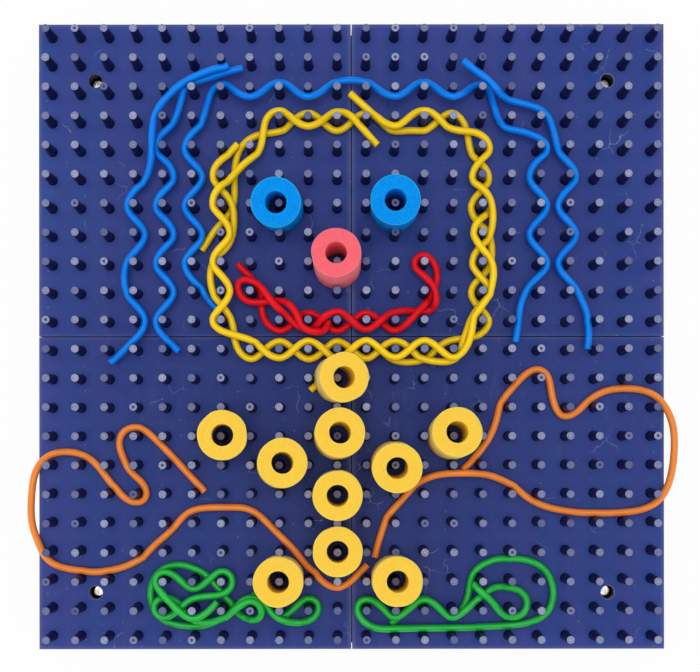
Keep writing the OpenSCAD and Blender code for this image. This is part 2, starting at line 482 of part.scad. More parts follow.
module corner_screws() {
    color([0.8, 0.8, 0.82])
    for (p = panels)
        translate(corner_fixing(p) + [0, 0, face_z - well_depth])
        difference() {
            union() {
                cylinder(h = head_h, d = head_d, $fn = round_steps);
                translate([0, 0, -corner_reach])
                    cylinder(h = corner_reach + head_h / 2, d = shank_d, $fn = small_steps);
            }
            for (a = [0, 90])
                rotate(a)
                translate([-cross_span / 2, -cross_w / 2, head_h - cross_depth])
                    cube([cross_span, cross_w, cross_depth + overcut]);
        }
}

module rear_screws() {
    color([0.7, 0.7, 0.72])
    for (p = panels, f = rear_fixings(p))
        translate(f + [0, 0, rear_sink])
        difference() {
            union() {
                cylinder(h = rear_head_h, d = rear_head_d, $fn = round_steps);
                cylinder(h = board_t - rear_sink + rear_grip, d = rear_shank_d, $fn = small_steps);
            }
            for (a = [0, 90])
                rotate(a)
                translate([-cross_span / 2, -cross_w / 2, -overcut])
                    cube([cross_span, cross_w, rear_head_h / 2 + overcut]);
        }
}

// Dents in the collar ring, where its foam presses over the two cords that it stands on
module collar_dents() {
    width = cord_d + 2 * dent_room;
    low = [for (p = yellow_low_route) place(p)];
    from = low[len(low) - 3];
    run = flat(low[len(low) - 1]) - flat(from);
    translate([from[0], from[1], face_z])
        rotate(atan2(run[1], run[0]))
        translate([-ring_d / 2, -width / 2, 0])
            cube([norm(run) + ring_d, width, level_z(0) + cord_d / 2 + dent_room]);
    crest = place([collar[1], collar[2] - 1, collar_level, 270, 1]);
    translate([crest[0] - ring_d / 2, crest[1] - width / 2, face_z])
        cube([ring_d, ring_d, crest[2] + cord_d / 2 + dent_room]);
}

// The four pegs round a ring, with the room that its foam gives way by
module pegs_round(foot) {
    for (a = [0 : 90 : 270])
        translate([foot[0] + pitch * cos(a), foot[1] + pitch * sin(a), face_z])
            cylinder(
                h = peg_h + foam_gap,
                d1 = peg_base_d + 2 * foam_gap,
                d2 = peg_tip_d + 2 * foam_gap,
                $fn = round_steps
            );
}

module foam_ring(r) {
    foot = peg_at(r[1], r[2]);
    lean = [r[3], r[4]];
    tilt = atan(norm(lean) / ring_h);
    sunk = ring_d / 2 * sin(tilt) + overcut;
    color(r[5])
    difference() {
        intersection() {
            translate([foot[0], foot[1], face_z + ring_seat])
                rotate(a = tilt, v = [-lean[1], lean[0], 0])
                translate([0, 0, -sunk])
                difference() {
                    cylinder(h = ring_h + sunk, d = ring_d, $fn = round_steps);
                    translate([0, 0, -overcut])
                        cylinder(h = ring_h + sunk + 2 * overcut, d = ring_hole_d, $fn = round_steps);
                }
            translate([foot[0] - ring_d, foot[1] - ring_d, face_z + ring_seat])
                cube([2 * ring_d, 2 * ring_d, 2 * ring_h]);
        }
        pegs_round(foot);
        if (r == collar)
            collar_dents();
    }
}

back_board();
corner_screws();
rear_screws();
for (p = panels) {
    panel(p);
    pegs(p);
}
for (r = rings) foam_ring(r);
for (c = cords) cord(c);
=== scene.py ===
import json
import math
import random

import bpy
import numpy as np
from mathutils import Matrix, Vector

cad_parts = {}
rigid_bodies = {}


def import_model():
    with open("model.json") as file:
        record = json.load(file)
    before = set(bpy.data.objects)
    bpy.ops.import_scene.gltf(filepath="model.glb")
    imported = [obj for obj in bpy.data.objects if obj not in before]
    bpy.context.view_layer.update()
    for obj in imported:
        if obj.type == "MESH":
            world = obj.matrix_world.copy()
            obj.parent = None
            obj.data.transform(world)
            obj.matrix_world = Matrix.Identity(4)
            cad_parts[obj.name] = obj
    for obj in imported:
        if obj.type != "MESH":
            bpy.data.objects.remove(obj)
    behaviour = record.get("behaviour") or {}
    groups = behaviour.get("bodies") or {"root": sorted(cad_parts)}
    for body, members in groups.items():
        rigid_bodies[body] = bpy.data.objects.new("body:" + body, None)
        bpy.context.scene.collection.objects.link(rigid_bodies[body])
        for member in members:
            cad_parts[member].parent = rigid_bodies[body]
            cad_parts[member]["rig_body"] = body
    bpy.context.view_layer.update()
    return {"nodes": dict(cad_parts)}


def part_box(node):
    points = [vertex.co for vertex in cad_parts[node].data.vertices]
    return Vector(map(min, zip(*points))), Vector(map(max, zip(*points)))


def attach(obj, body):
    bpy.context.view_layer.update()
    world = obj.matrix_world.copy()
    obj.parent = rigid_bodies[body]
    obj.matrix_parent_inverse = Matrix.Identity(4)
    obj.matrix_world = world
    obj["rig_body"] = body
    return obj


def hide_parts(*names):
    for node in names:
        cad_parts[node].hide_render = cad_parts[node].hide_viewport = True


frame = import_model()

scene = bpy.context.scene
scene.view_settings.view_transform = "Standard"
print("frame loaded,", len(frame["nodes"]), "nodes")

# the peg grid, in metres
grid = {"side": 22, "pitch": 0.0273, "foot": 0.0092, "tip": 0.0075, "height": 0.025}
gridMid = (grid["side"] - 1) / 2
halfSide = grid["side"] // 2  # pegs along one panel
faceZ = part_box("panel_top_left")[1].z
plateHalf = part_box("panel_top_right")[1].x


def pegAt(column, row):
    return np.array([(column - gridMid) * grid["pitch"], (gridMid - row) * grid["pitch"]])


def pegRadius(z):  # z above the face
    share = np.clip(z / grid["height"], 0, 1)
    return (grid["foot"] + (grid["tip"] - grid["foot"]) * share) / 2


# camera, straight down, with the frame shifted off its axis
shot = {
    "size": (700, 672),
    "axisPixel": (338.4, 444.7),  # where the lens axis meets the plate
    "platePixels": (39.3, 24.6, 663.9, 648.7),
    "distance": 0.985,
    "turn": -0.055,  # degrees
    "sensor": 36,
}


def aimCamera():
    left, top, right, bottom = shot["platePixels"]
    perPixel = 2 * plateHalf / (right - left)
    data = bpy.data.cameras.new("camera")
    camera = bpy.data.objects.new("camera", data)
    scene.collection.objects.link(camera)
    x = (shot["axisPixel"][0] - (left + right) / 2) * perPixel
    y = ((top + bottom) / 2 - shot["axisPixel"][1]) * perPixel
    camera.location = (x, y, faceZ + shot["distance"])
    camera.rotation_euler = (0, 0, math.radians(shot["turn"]))
    wide, high = shot["size"]
    data.sensor_width = shot["sensor"]
    data.lens = shot["sensor"] * shot["distance"] / perPixel / wide
    data.shift_x = (wide / 2 - shot["axisPixel"][0]) / wide
    data.shift_y = (shot["axisPixel"][1] - high / 2) / wide
    scene.camera = camera


aimCamera()
print("camera aimed")


# node helpers
def paint(r, g, b):  # screen colour, 0 to 255
    def linear(v):
        v = v / 255
        return v / 12.92 if v <= 0.04045 else ((v + 0.055) / 1.055) ** 2.4
    return (linear(r), linear(g), linear(b), 1)


def startFinish(name):
    finish = bpy.data.materials.new(name)
    finish.use_nodes = True
    tree = finish.node_tree
    return finish, tree, tree.nodes["Principled BSDF"]


def addNode(tree, kind, inputs, **settings):
    node = tree.nodes.new(kind)
    for key, value in settings.items():
        setattr(node, key, value)
    for key, value in inputs.items():
        if isinstance(value, bpy.types.NodeSocket):
            tree.links.new(value, node.inputs[key])
        else:
            node.inputs[key].default_value = value
    return node


def objectCoords(tree):
    return addNode(tree, "ShaderNodeTexCoord", {}).outputs["Object"]


def stretched(tree, coords, scale, turn=0.0):
    inputs = {"Vector": coords, "Scale": scale, "Rotation": (0, 0, math.radians(turn))}
    return addNode(tree, "ShaderNodeMapping", inputs).outputs["Vector"]


def noiseOf(tree, coords, scale, detail=3, rough=0.5, warp=0.0):
    inputs = {"Vector": coords, "Scale": scale, "Detail": detail, "Roughness": rough, "Distortion": warp}
    return addNode(tree, "ShaderNodeTexNoise", inputs).outputs["Fac"]


def ranged(tree, value, low, high, toLow=0.0, toHigh=1.0):
    inputs = {"Value": value, "From Min": low, "From Max": high, "To Min": toLow, "To Max": toHigh}
    return addNode(tree, "ShaderNodeMapRange", inputs).outputs["Result"]


def reckon(tree, operation, a, b=0.0):
    return addNode(tree, "ShaderNodeMath", {0: a, 1: b}, operation=operation).outputs["Value"]


def blendColours(tree, share, a, b):
    node = addNode(tree, "ShaderNodeMix", {0: share, 6: a, 7: b}, data_type="RGBA")
    return node.outputs[2]


def readAttribute(tree, name):
    return addNode(tree, "ShaderNodeAttribute", {}, attribute_name=name).outputs["Fac"]


def bumpOf(tree, height, strength, distance):
    inputs = {"Height": height, "Strength": strength, "Distance": distance}
    return addNode(tree, "ShaderNodeBump", inputs).outputs["Normal"]


def wire(tree, output, shader, socket):
    tree.links.new(output, shader.inputs[socket])


# mesh helpers
def makePiece(name, points, faces, finish, body):
    mesh = bpy.data.meshes.new(name)
    mesh.from_pydata([tuple(p) for p in points], [], faces)
    mesh.polygons.foreach_set("use_smooth", [True] * len(mesh.polygons))
    mesh.materials.append(finish)
    piece = bpy.data.objects.new(name, mesh)
    scene.collection.objects.link(piece)
    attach(piece, body)
    return piece


def setAttribute(piece, name, values):
    data = piece.data.attributes.new(name, "FLOAT", "POINT")
    data.data.foreach_set("value", np.asarray(values, np.float32))


def wallFaces(rows, around, first=0):  # rows of points, each a closed ring
    faces = []
    for i in range(rows - 1):
        for k in range(around):
            a, b = first + i * around + k, first + i * around + (k + 1) % around
            faces.append((a, b, b + around, a + around))
    return faces


# cords
cordMake = {
    "diameter": 0.0068,
    "gap": 0.0006,  # over the face, and between strands
    "pegGap": 0.00045,
    "pull": 1.08,  # of the bends between route points
    "step": 0.003,
    "evenStep": 0.002,
    "stiffRun": 0.0055,  # bends shorter than this are evened out
    "held": 8,  # how much harder a peg holds the cord than its route does
    "rounds": 6,  # of drawing tight
    "ringStep": 0.0016,
    "sides": 16,
    "cutEdge": 0.0005,
    "gloss": 1.0,
}

# [column, row, level] lies free, [column, row, level, angle, reach] bends round that peg
cordRoutes = {
    "cord_blue_outer_left": [
        [6.22, 1.17, 2], [5.75, 1.33, 2], [5.3, 1.5, 2], [4.9, 1.7, 2], [4.5, 1.93, 2], [4.05, 2.4, 2],
        [3.8, 2.72, 2], [4, 3, 2, 176, 1], [3.63, 3.35, 2], [3.6, 3.75, 1.9], [3.59, 4.05, 1.8],
        [3.55, 4.4, 1.5], [3.5, 4.7, 1.2], [3, 5, 0.9, 5, 1.1], [3, 6, 0.9, 180, 1], [3, 7, 0.9, 5, 1],
        [3, 8, 0.9, 172, 1.1], [2.6, 8.45, 0.9], [3, 9, 0.9, 188, 1.05], [3, 10, 0.9, 0, 1],
        [2.75, 10.85, 0.9], [2.1, 11.45, 0.9],
    ],
    "cord_blue_inner_left": [
        [6.73, 1.2, 0.9], [6.25, 1.3, 0.9], [5.8, 1.45, 0.9], [5.35, 1.6, 0.9], [5, 2, 0.9, 75, 1],
        [5, 2, 0.9, 130, 1], [5, 2, 0.9, 175, 1.02], [4.56, 2.4, 0.9], [4.44, 2.78, 0.9],
        [4, 3, 0.9, 340, 1.03], [4.08, 3.36, 0.9], [3.86, 3.52, 0.9], [4, 4, 0.9, 166, 1],
        [4, 5, 0.9, 15, 1], [4, 6, 0.9, 170, 1], [4, 7, 0.9, 15, 1], [4, 8, 0.9, 175, 1], [4, 9, 0.9, 5, 1],
        [4, 10, 0.9, 180, 1], [4, 11, 0.9, 60, 1.05], [4.5, 11.05, 0.9],
    ],
    "cord_blue_arch": [
        [5.9, 9.65, 0], [5.55, 9.3, 0], [5, 9, 0.4, 10, 1], [5, 8, 0.9, 180, 1], [5, 7, 0.9, 0, 1],
        [5, 6, 0.9, 180, 1], [5, 5, 0.9, 0, 1], [5, 4, 0.9, 180, 1], [5, 3, 0.9, 0, 1], [5.55, 2.2, 0.5],
        [6, 2, 0.2, 110, 1.05], [7, 2, 2, 270, 1], [8, 2, 1, 90, 1], [9, 2, 2, 270, 1], [10, 2, 0.9, 90, 1],
        [11, 2, 0.9, 90, 1], [12, 2, 2.1, 270, 1], [13, 2, 1, 90, 1], [14, 2, 2, 270, 1],
        [15, 2, 0.1, 100, 1], [15, 2, 0.1, 10, 1.05], [15.55, 2.75, 0.6], [16, 3, 0.9, 245, 1],
        [16.45, 3.4, 0.9], [17, 4, 0.9, 85, 1.1], [17, 4, 0.9, 25, 1], [17, 5, 0.9, 180, 1],
        [17, 6, 0.9, 0, 1], [17, 7, 0.9, 180, 1], [17, 8, 0.9, 0, 1], [16.75, 8.7, 0.9], [16.4, 9.35, 0.9],
        [16, 10, 0.9, 0, 1.05], [16.2, 10.75, 0.9],
    ],
    "cord_blue_right": [
        [14.35, 1.05, 2], [14.65, 1.3, 2], [15, 1.55, 2], [15.25, 1.75, 2], [15.5, 2, 1.9],
        [15.7, 2.2, 1.5], [16, 2, 0.9, 262, 1], [16.5, 2.45, 0.9], [17, 3, 0.9, 88, 1.3],
        [17, 3, 0.9, 25, 1.15], [17.55, 3.45, 0.9], [18, 4, 0.9, 215, 1], [18, 5, 0.9, 20, 1],
        [18, 6, 0.9, 180, 1], [18, 7, 0.9, 0, 1], [18, 8, 0.9, 180, 1], [18, 9, 0.9, 35, 1.08],
        [18.55, 9.4, 0.9], [18.75, 10, 1], [19, 11, 1.2, 180, 1.05],
    ],
    "cord_yellow_low": [
        [5.25, 7.5, 0], [5.55, 7.05, 0], [5.75, 6.75, 0], [6.1, 6.35, 0], [6, 6, 0, 5, 1], [6.4, 5.7, 0],
        [6.4, 5.05, 0], [6.45, 4.45, 0], [6.55, 4.05, 0], [6.7, 3.8, 0], [6.95, 3.6, 0], [7.2, 3.45, 0],
        [7.55, 3.4, 0], [8, 3, 0, 270, 1], [9, 3, 0, 90, 1], [10, 3, 0, 270, 1], [11, 3, 0, 90, 1],
        [12, 3, 0, 270, 1], [12.6, 3.26, 0], [13, 3, 0, 272, 1], [14, 3, 0, 85, 1.08], [14.3, 2.9, 0],
        [14.5, 3.15, 0], [14.6, 3.6, 0], [15, 4, 0, 190, 1], [15, 5, 0, 15, 1], [15, 6, 0, 180, 1],
        [15, 7, 0, 345, 1.15], [15.4, 7.6, 0], [15, 8, 0, 340, 1.1], [15, 9, 0, 170, 1], [15, 10, 0, 10, 1],
        [15, 10, 0, 320, 1], [14.9, 10.5, 0], [14.35, 10.6, 0], [14, 11, 0, 95, 1.15], [13.5, 10.9, 0],
        [13, 11, 0, 325, 1.05], [13, 11, 0, 268, 1.05], [12.55, 11.4, 0], [12, 11, 0, 268, 1.12],
        [11.55, 11, 0], [11, 11, 0, 90, 1], [10.6, 10.9, 0], [10, 11, 0, 290, 1.2], [9.55, 11.95, 0],
        [9.05, 12.4, 0],
    ],
    "cord_yellow_mid": [
        [6.55, 3.85, 1], [6.25, 4.1, 1], [5.95, 4.4, 1], [5.7, 4.75, 1], [6, 5, 1, 185, 1], [5.9, 5.35, 1],
        [6.15, 5.6, 1], [6, 6, 1, 345, 1.35], [6.4, 6.45, 1], [6.4, 6.8, 1], [6, 7, 1, 340, 1.1],
        [6.15, 7.5, 1], [6, 8, 1, 125, 1.05], [5.6, 8.25, 1], [5.6, 8.5, 1], [5.65, 8.85, 1], [5.9, 9.3, 1],
        [6.1, 9.6, 0.9], [6, 10, 0.7, 5, 1], [6.4, 10.3, 0.6], [6.4, 10.5, 0.6], [6.45, 10.75, 0.6],
        [6.6, 11.05, 0.6], [7, 11, 0.6, 270, 1], [8, 11, 0.6, 90, 1], [9, 11, 0.3, 270, 1],
        [10, 11, 0.3, 90, 1], [10.5, 11, 1.15], [11, 11, 1.05, 270, 1], [12, 11, 1, 90, 1],
        [13, 11, 1, 270, 1], [13.5, 11.4, 1], [14, 11, 1, 282, 1.2], [14, 11, 1, 28, 1.05], [14.5, 10.4, 1],
        [15, 10, 1, 175, 1.25], [14.9, 9.55, 1], [15, 9, 1, 25, 1.1], [15.05, 8.55, 1], [15, 8, 1, 175, 1],
        [15, 7.35, 1], [15, 7, 1, 20, 1.2], [15.4, 6.35, 1.3], [15, 6, 1.3, 10, 1.2], [15.15, 5.45, 1.15],
        [15, 5, 1, 160, 1], [15, 4, 1, 5, 1.05], [15, 4, 1, 60, 1.15], [14.85, 3.45, 1], [14.35, 3.4, 1],
        [14, 3, 1, 262, 1.05], [13, 3, 1, 85, 1.1], [12, 3, 1.9, 270, 1], [11.5, 3, 1.3],
        [11, 3, 1, 45, 1.05], [10.45, 2.08, 1],
    ],
    "cord_yellow_top": [
        [11.4, 3.9, 1.1], [11.05, 3.5, 1.1], [11, 3, 1.1, 220, 1], [10.5, 2.9, 1.1], [10, 3, 0.6, 90, 1],
        [9, 3, 1.8, 270, 1], [8, 3, 1.1, 90, 1], [7.55, 2.95, 1.1], [7.45, 3.4, 1.1], [7.4, 3.7, 1.1],
        [7, 4, 1.2, 325, 1.05], [7, 4.35, 1.3], [6.6, 4.75, 1.5], [6, 5, 1.7, 340, 1.1], [5.95, 5.4, 2.15],
        [6, 6, 2, 170, 1], [6, 7, 2, 5, 1], [6, 8, 2, 165, 1], [6, 9, 2, 5, 1], [6, 10, 2, 172, 1],
        [6, 10, 2, 225, 1.05], [6.1, 10.4, 1.8], [6.45, 10.5, 1.7], [6.75, 10.6, 1.6], [7, 11, 1.6, 85, 1],
        [8, 11, 1.6, 270, 1], [9, 11, 1.5, 90, 1], [10, 11, 1.2, 270, 1], [10.5, 11, 2.25],
        [11, 11, 2.1, 90, 1], [12, 11, 2.1, 270, 1], [13, 11, 2, 90, 1], [14, 11, 2, 270, 1], [14.4, 11, 2],
        [14.6, 10.6, 2], [15, 10, 2, 200, 1.1], [15.1, 9.3, 2], [15.3, 8.85, 2], [15.4, 8.35, 2],
        [15, 8, 2, 10, 1.1], [14.9, 7.4, 2], [15, 7, 2, 165, 1], [14.85, 6.6, 1.9], [15.1, 6.38, 1.05],
        [15.28, 6.22, 0.15], [15.38, 6.05, 0],
    ],
    "cord_red": [
        [6.53, 7.99, 0.3], [6.87, 8.35, 0.25], [7.17, 8.67, 0], [7, 9, 0, 5, 1.1], [7.35, 9.45, 0],
        [7.4, 9.8, 0], [7.55, 10.05, 0.1], [8, 10, 0.2, 270, 1], [8.35, 10.15, 0], [8.75, 9.7, 0],
        [9, 10, 0.2, 90, 1.05], [9.4, 9.85, 0], [10, 10, 0.1, 270, 1], [10.5, 10, 0], [11, 10, 0.2, 90, 1],
        [11.5, 9.95, 0], [12, 10, 0.4, 270, 1], [12.45, 10.05, 0.95], [12.8, 9.7, 1.2], [13, 9.45, 1],
        [13, 9, 0.05, 318, 1], [13, 9, 0, 0, 1], [13.45, 8.7, 0], [13.5, 8.35, 0], [13.4, 8, 0.3],
        [13, 8, 0.6, 80, 1], [13, 8, 0.8, 170, 1], [13.1, 8.5, 1], [13.35, 8.8, 1], [13.4, 9.1, 1.1],
        [13.45, 9.35, 1], [13.3, 9.6, 0.15], [13, 9.65, 0], [12.6, 9.6, 0], [12.2, 9.65, 0.35],
        [12, 10, 0.8, 105, 1], [11.55, 9.95, 1.3], [11, 10, 1.3, 270, 1], [10.5, 10, 1.6],
        [10, 10, 2.05, 90, 1], [9.55, 9.9, 2.1], [9.3, 10.05, 1.35], [9.1, 10.2, 0.9], [9, 10, 0.9, 250, 1],
        [8.6, 10.15, 1], [8.3, 9.85, 1.2], [7.95, 9.6, 1.9], [7.7, 9.3, 2.2], [7.45, 8.95, 2.1],
        [7.1, 8.65, 1.5], [6.75, 8.55, 1.2], [6.5, 8.75, 1], [6.65, 9.1, 1], [6.85, 9.3, 1], [7.15, 9.35, 1],
        [7.65, 9.3, 0.95], [8, 9, 0.95, 240, 1], [8.1, 9.3, 1.3], [8.4, 9.5, 1.8], [8.65, 9.85, 2],
        [9, 10, 2, 240, 1.05], [9.25, 10.4, 2.1], [9.55, 10.35, 1.3], [9.7, 10.1, 1.05], [9.7, 9.95, 1.05],
    ],
    "cord_orange_left": [
        [11.05, 18.5, 0], [10.55, 19, 0], [10, 19, 0, 275, 1], [9.5, 19.1, 0], [9, 19, 0, 80, 1],
        [8.57, 18.08, 0], [8.05, 17.55, 0], [7.5, 17, 0], [6.9, 16.55, 0], [6.2, 16.5, 0], [5.55, 16.5, 0],
        [4.8, 16.65, 0], [4, 17, 0, 315, 1.1], [3.55, 17.85, 0], [3, 18, 0, 268, 1.1], [2.25, 18.65, 0],
        [1.35, 18.75, 0], [0.45, 18.6, 0], [-0.1, 18.35, 0], [-0.45, 17.75, 0], [-0.7, 17, 0],
        [-0.7, 16, 0], [-0.55, 15.2, 0], [-0.15, 14.7, 0], [0.45, 14.55, 0], [1.2, 14.7, 0],
        [1.75, 15.2, 0], [2.05, 15.65, 0], [2.5, 16.1, 0], [3, 16, 0, 255, 1.1], [3, 16, 0, 345, 1],
        [3.2, 15.65, 0], [3, 15, 0, 225, 1.15], [2.5, 14.7, 0], [2.35, 14.2, 0], [2.55, 13.8, 0],
        [3, 14, 0, 92, 1], [3.45, 13.95, 0], [4.4, 14.9, 0], [5.35, 15.95, 0],
    ],
    "cord_orange_right": [
        [11.3, 18.25, 0], [11.5, 17.5, 0], [12, 17, 0, 117, 1.05], [12.3, 16.2, 0], [12.75, 15.7, 0],
        [13.35, 15.4, 0.4], [14, 15, 1, 268, 1], [14.4, 15.3, 1.1], [14.8, 15.3, 1], [15.4, 15.4, 0.3],
        [16, 16, 0, 85, 1], [16.5, 16.05, 0], [17.1, 16.4, 0], [17.85, 16.6, 0], [18.75, 16.7, 0],
        [20, 17, 0, 98, 1.05], [20.75, 16.55, 0], [21.3, 16.2, 0], [21.65, 15.5, 0], [21.8, 14.35, 0],
        [21.7, 13.45, 0], [21.3, 12.75, 0], [20.85, 12.45, 0], [20.15, 12.35, 0], [19.5, 12.4, 0],
        [18.95, 12.65, 0], [18.45, 13.1, 0], [18, 13, 0, 287, 1], [18, 13, 0, 190, 1], [17.5, 12.5, 0],
        [17.35, 11.85, 0], [17, 12, 0, 90, 1.15], [16.6, 11.85, 0], [16.2, 12.25, 0], [16, 13, 0, 150, 1],
        [15.65, 13.15, 0], [15.45, 13.8, 0], [15.05, 14.45, 0], [14.7, 14.9, 0], [14.38, 15.2, 0],
    ],
    "cord_green_left": [
        [5.85, 19.75, 1.7], [5.65, 19.95, 1.7], [5.4, 20.15, 1.85], [5, 20, 2, 290, 1], [4.8, 20.2, 2.05],
        [4.5, 20, 2.15], [4.2, 19.7, 2.1], [3.9, 19.35, 2], [4, 19, 1.8, 190, 1.05],
        [4, 19, 1.65, 130, 1.05], [4, 19, 1.5, 80, 1.1], [4.5, 18.95, 1.2], [5, 19, 1, 268, 1],
        [6, 19, 1, 90, 1], [6.3, 18.85, 1], [6.35, 19.1, 1], [6.25, 19.35, 1], [6, 19.5, 1],
        [5.6, 19.55, 1], [5.15, 19.6, 1], [4.85, 19.7, 1.05], [4.6, 19.9, 1.1], [4.45, 20.05, 1.1],
        [4.25, 20.2, 1], [4, 20, 1, 265, 1.05], [3.7, 20.2, 1], [3.6, 19.9, 1], [3.7, 19.7, 1],
        [3.85, 19.65, 0.8], [4.15, 19.65, 0.2], [4.35, 19.75, 0], [4.5, 19.9, 0], [4.75, 20.25, 0.2],
        [5.15, 20.45, 1], [5.6, 20.45, 1.1], [5.95, 20.3, 1.5], [6.3, 20.1, 2.1], [6.5, 19.95, 2.25],
        [6.75, 19.8, 2.1], [7, 20, 2, 88, 1], [7, 20, 2, 30, 1.15], [7.4, 20.05, 1.9], [7.3, 20.3, 1.4],
        [7.1, 20.4, 1], [6.8, 20.35, 0.3], [6.5, 20.2, 0], [6, 20, 0, 15, 1.05], [6.1, 19.7, 0],
        [5.85, 19.35, 0], [5.65, 19.15, 0], [5.5, 18.9, 0], [5.2, 18.75, 0], [4.9, 18.6, 0],
        [4.45, 18.5, 0], [4, 18.6, 0], [3.7, 18.8, 0], [3.5, 19.2, 0], [3.45, 19.5, 0], [3.5, 19.85, 0],
        [3.6, 20.05, 0], [3.75, 20.3, 0], [4.05, 20.5, 0], [4.45, 20.6, 0], [5, 20.65, 0], [5.45, 20.6, 0],
        [5.7, 20.5, 0.05], [5.95, 20.35, 0.35], [6.3, 20.15, 0.95], [6.5, 19.95, 1.15], [6.75, 19.65, 1],
        [6.95, 19.6, 1], [7.15, 19.65, 1.05], [7.4, 19.8, 1.05], [7.65, 20.05, 0.95], [7.8, 20.25, 1],
        [8.1, 20.4, 1.05], [8.6, 20.5, 0.6], [9.1, 20.4, 0.2], [9.35, 20.05, 0], [9.25, 19.75, 0],
        [9, 20, 0, 88, 1], [8.75, 19.8, 0], [8.45, 20.05, 0], [8, 20, 0, 300, 1.05], [8, 20, 0, 222, 1.05],
        [7.5, 19.95, 0], [7, 19.5, 0],
    ],
    "cord_green_right": [
        [14.7, 19.1, 1.5], [14.85, 19.3, 1.9], [15.1, 19.5, 2.1], [15.45, 19.85, 1.45],
        [16, 20, 0.8, 230, 1.05], [16.2, 20.3, 0.5], [16.45, 20.25, 0.4], [16.6, 20, 0.3],
        [16.6, 19.65, 0.3], [16.35, 19.4, 0.3], [16, 19, 0.4, 263, 1], [15.6, 19.25, 0.6],
        [15.2, 19.4, 0.9], [15.05, 19.55, 0.9], [14.85, 19.7, 1], [14.55, 19.95, 1], [14.3, 20.15, 1],
        [14, 20, 1, 280, 1], [13.7, 20.1, 1], [13, 20, 1, 80, 1.1], [12.7, 19.85, 1], [12.3, 20.15, 1],
        [12, 20, 1, 272, 1], [11.7, 20.05, 1], [11, 20, 0.8, 82, 1.15], [10.85, 19.7, 0.8],
        [11, 20, 0.8, 178, 1.05], [10.75, 20.25, 0.8], [11.05, 20.55, 0.9], [11.45, 20.7, 1],
        [11.8, 20.7, 1], [13.05, 20.7, 0.6], [14.3, 20.7, 0.3], [15.7, 20.65, 0], [16.3, 20.6, 0],
        [16.8, 20.5, 0], [17.2, 20.3, 0], [17.45, 20, 0], [17.55, 19.5, 0], [17.45, 19, 0],
        [17.15, 18.6, 0], [16.65, 18.35, 0], [16.15, 18.3, 0], [15.65, 18.3, 0], [15.1, 18.5, 0],
        [14.8, 18.75, 0], [14.65, 19.1, 0], [14.6, 19.5, 0], [14.5, 19.8, 0], [14.35, 20.05, 0],
        [14, 20, 0, 275, 1], [13, 20, 0, 88, 1], [12.35, 20.15, 0], [12.1, 20.4, 0], [11.85, 20.55, 0],
    ],
}


def levelZ(level):
    thick, gap = cordMake["diameter"], cordMake["gap"]
    return gap + thick / 2 + level * (thick + gap)


def pegReach(z):  # from a peg's axis to the cord's centre
    half = cordMake["diameter"] / 2
    return pegRadius(z - half) + half + cordMake["pegGap"]


def placePoint(p):
    z = levelZ(p[2])
    xy = pegAt(p[0], p[1])
    if len(p) > 3:
        angle = math.radians(p[3])
        xy = xy + pegReach(z) * p[4] * np.array([math.cos(angle), math.sin(angle)])
    return np.array([xy[0], xy[1], z])


def smoothLine(points):
    heads = []
    for i in range(len(points)):
        way = (points[min(i + 1, len(points) - 1)] - points[max(i - 1, 0)])[:2]
        heads.append(way / np.linalg.norm(way))
    line = []
    for i in range(len(points) - 1):
        a, b = points[i], points[i + 1]
        span = np.linalg.norm((b - a)[:2])
        count = max(1, math.ceil(span / cordMake["step"]))
        for k in range(count):
            t = k / count
            ease = t * t * (3 - 2 * t)
            bend = cordMake["pull"] * span * t * (1 - t) * ((1 - t) * heads[i] - t * heads[i + 1])
            xy = (1 - ease) * a[:2] + ease * b[:2] + bend
            line.append([xy[0], xy[1], a[2] + (b[2] - a[2]) * ease])
    line.append(list(points[-1]))
    return np.array(line)


def clearOfPegs(line):
    last = grid["side"] - 1
    column = np.clip(np.round(line[:, 0] / grid["pitch"] + gridMid), 0, last)
    row = np.clip(np.round(gridMid - line[:, 1] / grid["pitch"]), 0, last)
    peg = np.stack([(column - gridMid), (gridMid - row)], axis=1) * grid["pitch"]
    away = line[:, :2] - peg
    far = np.linalg.norm(away, axis=1)
    push = np.maximum(pegReach(line[:, 2]) / far, 1)
    return np.column_stack([peg + away * push[:, None], line[:, 2]])


def evenly(line, step):  # a smooth curve through the line, in even steps
    ends = [2 * line[0] - line[1]], [2 * line[-1] - line[-2]]
    q = np.concatenate([ends[0], line, ends[1]])
    fine = []
    for i in range(1, len(q) - 2):
        for t in (0, 0.25, 0.5, 0.75):
            fine.append(0.5 * (2 * q[i] + (q[i + 1] - q[i - 1]) * t
                               + (2 * q[i - 1] - 5 * q[i] + 4 * q[i + 1] - q[i + 2]) * t * t
                               + (3 * q[i] - q[i - 1] - 3 * q[i + 1] + q[i + 2]) * t ** 3))
    fine = np.array(fine + [line[-1]])
    along = np.concatenate([[0], np.cumsum(np.linalg.norm(np.diff(fine, axis=0), axis=1))])
    at = np.linspace(0, along[-1], round(along[-1] / step) + 1)
    return np.stack([np.interp(at, along, fine[:, k]) for k in range(3)], axis=1), at


def drawTight(line):  # a springy run in plan, held off the pegs, at the heights it has
    second = np.diff(np.eye(len(line)), 2, axis=0)
    stiff = (cordMake["stiffRun"] / cordMake["evenStep"]) ** 4 * second.T @ second
    anchor, weight = line[:, :2].copy(), np.ones(len(line))
    weight[[0, -1]] = cordMake["held"]
    for _ in range(cordMake["rounds"]):
        flat = np.linalg.solve(np.diag(weight) + stiff, weight[:, None] * anchor)
        clear = clearOfPegs(np.column_stack([flat, line[:, 2]]))
        pushed = np.linalg.norm(clear[:, :2] - flat, axis=1) > 1e-6
        anchor[pushed] = clear[pushed, :2]
        weight[pushed] = cordMake["held"]
    return clear


def cordPath(route):
    line = clearOfPegs(smoothLine([placePoint(p) for p in route]))
    line = drawTight(evenly(line, cordMake["evenStep"])[0])
    line[:, 2] += faceZ
    return evenly(line, cordMake["ringStep"])


